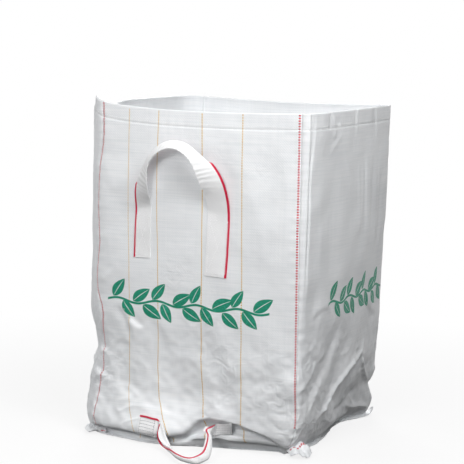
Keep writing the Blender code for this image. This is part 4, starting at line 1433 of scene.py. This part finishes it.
# Stitching along the hem: two rows of thread
hemStitching = {
    "rows": (0.0335, 0.0275),  # below the rim
    "dashes": (0.0052, 0.0039, 0.0008, 0.00035),
    "steps": 600,
}
parts = []
for face in (front, right, back, left):
    first, last = walls[face].ends(0.68)
    place = np.linspace(float(first), float(last), hemStitching["steps"])
    for down in hemStitching["rows"]:
        line = np.stack([place * bagShape["width"], rimHeight(place) - down], -1)
        parts.append(layDashes(onWall(face), line, *hemStitching["dashes"]))
dashPiece("hemStitching", parts, whiteThread)
print("tapes and stitching made")

# Print: a running sprig of pointed leaves in one colour, the same on every side
printBand = {
    "leaf": (0.051, 0.0260),  # length, width
    "leans": (50, 6),  # angle from the stem in degrees, and by how much it changes
    "smaller": 0.14,  # largest share that a leaf is smaller by
    "bare": (0.06, 0.0045),  # midrib, as a share of the half width, and stalk
    "bent": 0.10,
    "first": 0.012,
    "spacing": 0.0232,
    "height": 0.299,
    "wave": (0.0045, 0.094),  # height, wavelength
    "stem": 0.0048,
    "lift": 0.00022,
    "spans": {front: (-0.195, 0.184), right: (-0.150, 0.205), back: (-0.190, 0.190), left: (-0.190, 0.190)},
    "rise": {front: 0.0, right: 0.012, back: 0.0, left: 0.004},
}


def buildPrint(face):
    # each leaf: half width = half the width times the sine of a root of the share along it, bent along its midrib
    band = printBand
    low, high = band["spans"][face]
    level = band["height"] + band["rise"][face]
    size, length = band["wave"]

    def stemHeight(x):
        return level + size * np.sin(2 * np.pi * (x - low) / length)

    leaves = []
    lean, change = band["leans"]
    midrib, stalk = band["bare"]
    leafLength, leafWidth = band["leaf"]
    count = int((high - low - 0.02) / band["spacing"])
    for number in range(count):
        x = low + band["first"] + number * band["spacing"]
        side = 1 if number % 2 == 0 else -1
        slope = size * 2 * np.pi / length * np.cos(2 * np.pi * (x - low) / length)
        angle = np.arctan(slope) + side * np.radians(lean - change * np.sin(number * 2.1))
        scale = 1 - band["smaller"] * (0.5 + 0.5 * np.sin(number * 1.7))
        for part in (-1, 1):
            # two halves, parted by a bare midrib
            share = np.linspace(0, 1, 13)[:, None]
            reach = np.linspace(midrib, 1, 4)[None] * part
            half = 0.5 * leafWidth * scale * np.sin(np.pi * share**0.8) ** 0.85
            alongLeaf = share * leafLength * scale + stalk
            acrossLeaf = reach * half - side * band["bent"] * alongLeaf * share
            leafX = x + alongLeaf * np.cos(angle) - acrossLeaf * np.sin(angle)
            leafZ = stemHeight(x) + alongLeaf * np.sin(angle) + acrossLeaf * np.cos(angle)
            leaves.append(np.stack([leafX, leafZ], -1)[:, ::part])
    return np.array(leaves), stemHeight


def layPrint(face, name):
    # the flat print laid on a wall, a little off the cloth; on the sides, across is the distance from the middle
    band = printBand
    leaves, stemHeight = buildPrint(face)

    def onFace(flat):
        across, z = flat[..., 0], flat[..., 1]
        if face in (front, back):
            place = facePlace(face, across, z)
        else:
            place = face + (across + bagShape["depth"] / 2) / bagShape["depth"]
        return walls[face].at(place, z, np.full(z.shape, band["lift"]))

    first = addPatches(name + "Leaves", onFace(leaves), greenInk)
    low, high = band["spans"][face]
    x = np.linspace(low, high - 0.004, 200)
    wide = np.array([-0.5, 0, 0.5]) * band["stem"]
    stem = np.stack(np.broadcast_arrays(x[:, None], stemHeight(x)[:, None] + wide[None]), -1)
    second = addPatches(name + "Stem", onFace(stem)[None], greenInk)
    for piece in (first, second):
        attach(piece, "bag")


for face, name in ((front, "frontPrint"), (right, "rightPrint"), (back, "backPrint"), (left, "leftPrint")):
    layPrint(face, name)
print("print made")

# The size that each piece of cloth and webbing was cut to: a wall has both seam allowances, the hem and what is
# turned under, and each strap is one length of webbing
cutSizes = {
    "base": (0.490, 0.500),
    "footSeam": (0.016, 0.540),
    "tape": {
        "frontHandle": carryHandle["width"],
        "backHandle": carryHandle["width"],
        "tippingHandle": tippingHandle["width"],
    },
}


def declareSheets():
    # a wall's width is worked out at half its height, seam to seam, and then not used; each strap's width is printed
    # with its length, the one that it was built with
    cloth = wallCloth
    for face, name in cloth["names"].items():
        first, last = walls[face].ends(bagShape["height"] / 2)
        width = float(last - first) * bagShape["width"] + 2 * cloth["allowance"][-1]
    for name, width in cutSizes["tape"].items():
        print(name, "cut to", width, "by", round(strapLengths[name], 3))


declareSheets()

# Studio: soft lamps in front, to the right and behind and a weak one on the left, an even pale surround, and a
# white floor that keeps a soft shadow
studio = {
    # place, size and power of each lamp
    "lamps": (
        ((1.8, -0.9, 2.2), 1.0, 21),
        ((0.9, -1.0, 1.7), 0.8, 14),
        ((0.1, -4.2, 2.2), 1.4, 78),
        ((-2.2, -1.0, 1.2), 1.4, 14),
        ((-1.5, 2.8, 1.8), 1.4, 62),
    ),
    "aim": (0.0, 0.0, 0.36),
    "surround": 0.04,
    "floorTone": 0.06,  # as the bag is lit from it, and as the camera sees it
    "floorShown": 0.90,
    "nearWhite": 0.82,  # share of plain white in the floor beside the bag, growing to 1 further out
    "whiteFrom": 0.45,
    "whiteAt": 1.50,
    "floorSize": 12.0,
    "floorDrop": 0.0002,
}


def addRayTest(tree):
    # 1 for what the camera sees, straight or through a reflection, and 0 for the light that the bag receives
    rays = addNode(tree, "LightPath").outputs
    settings = {"operation": "MAXIMUM"}
    seen = addNode(tree, "Math", settings, {0: rays["Is Camera Ray"], 1: rays["Is Glossy Ray"]})
    return addNode(tree, "Math", settings, {0: seen, 1: rays["Is Transmission Ray"]})


def addStudio():
    # each lamp faces the aim; the world and the floor show as near white to the camera alone
    plainWhite = (1, 1, 1, 1)
    for number, (place, size, power) in enumerate(studio["lamps"]):
        data = bpy.data.lights.new(f"lamp{number}", "AREA")
        data.size, data.energy = size, power
        lamp = bpy.data.objects.new(f"lamp{number}", data)
        bpy.context.scene.collection.objects.link(lamp)
        backward = np.array(place) - np.array(studio["aim"])
        backward /= np.linalg.norm(backward)
        sideways = np.cross((0.001, 0.0, 1.0), backward)
        sideways /= np.linalg.norm(sideways)
        matrix = np.eye(4)
        matrix[:3] = np.stack([sideways, np.cross(backward, sideways), backward, place], 1)
        lamp.matrix_world = Matrix(matrix.tolist())

    world = bpy.data.worlds.new("surround")
    bpy.context.scene.world = world
    world.use_nodes = True
    tree = world.node_tree
    tree.nodes.clear()
    settings = {"To Min": studio["surround"], "To Max": 1.0}
    strength = addNode(tree, "MapRange", settings, {"Value": addRayTest(tree)})
    glow = addNode(tree, "Background", {"Color": plainWhite}, {"Strength": strength})
    addNode(tree, "OutputWorld", (), {"Surface": glow})

    material = bpy.data.materials.new("paleFloor")
    material.use_nodes = True
    tree = material.node_tree
    tree.nodes.clear()
    seen = addRayTest(tree)
    tone = addNode(tree, "MapRange", {"To Min": studio["floorTone"], "To Max": studio["floorShown"]}, {"Value": seen})
    matt = addNode(tree, "BsdfDiffuse", (), {"Color": tone})
    white = addNode(tree, "Emission", {"Color": plainWhite, "Strength": 1.0})
    place = addNode(tree, "TexCoord").outputs["Object"]
    away = addNode(tree, "VectorMath", {"operation": "LENGTH"}, {0: place}).outputs["Value"]
    start, until = studio["whiteFrom"], studio["whiteAt"]
    settings = {"From Min": start, "From Max": until, "To Min": studio["nearWhite"], "To Max": 1.0}
    whiter = addNode(tree, "MapRange", settings, {"Value": away})
    share = addNode(tree, "Math", {"operation": "MULTIPLY"}, {0: whiter, 1: seen})
    mixed = addNode(tree, "MixShader", (), {0: share, 1: matt, 2: white})
    addNode(tree, "OutputMaterial", (), {"Surface": mixed})
    size = studio["floorSize"] / 2
    corners = np.array([(-size, -size, 0), (size, -size, 0), (size, size, 0), (-size, size, 0)])
    corners = corners - (0, 0, studio["floorDrop"])
    floor = addMesh("floor", corners, np.array([[0, 1, 2, 3]]), material)


addStudio()
print("studio lit")
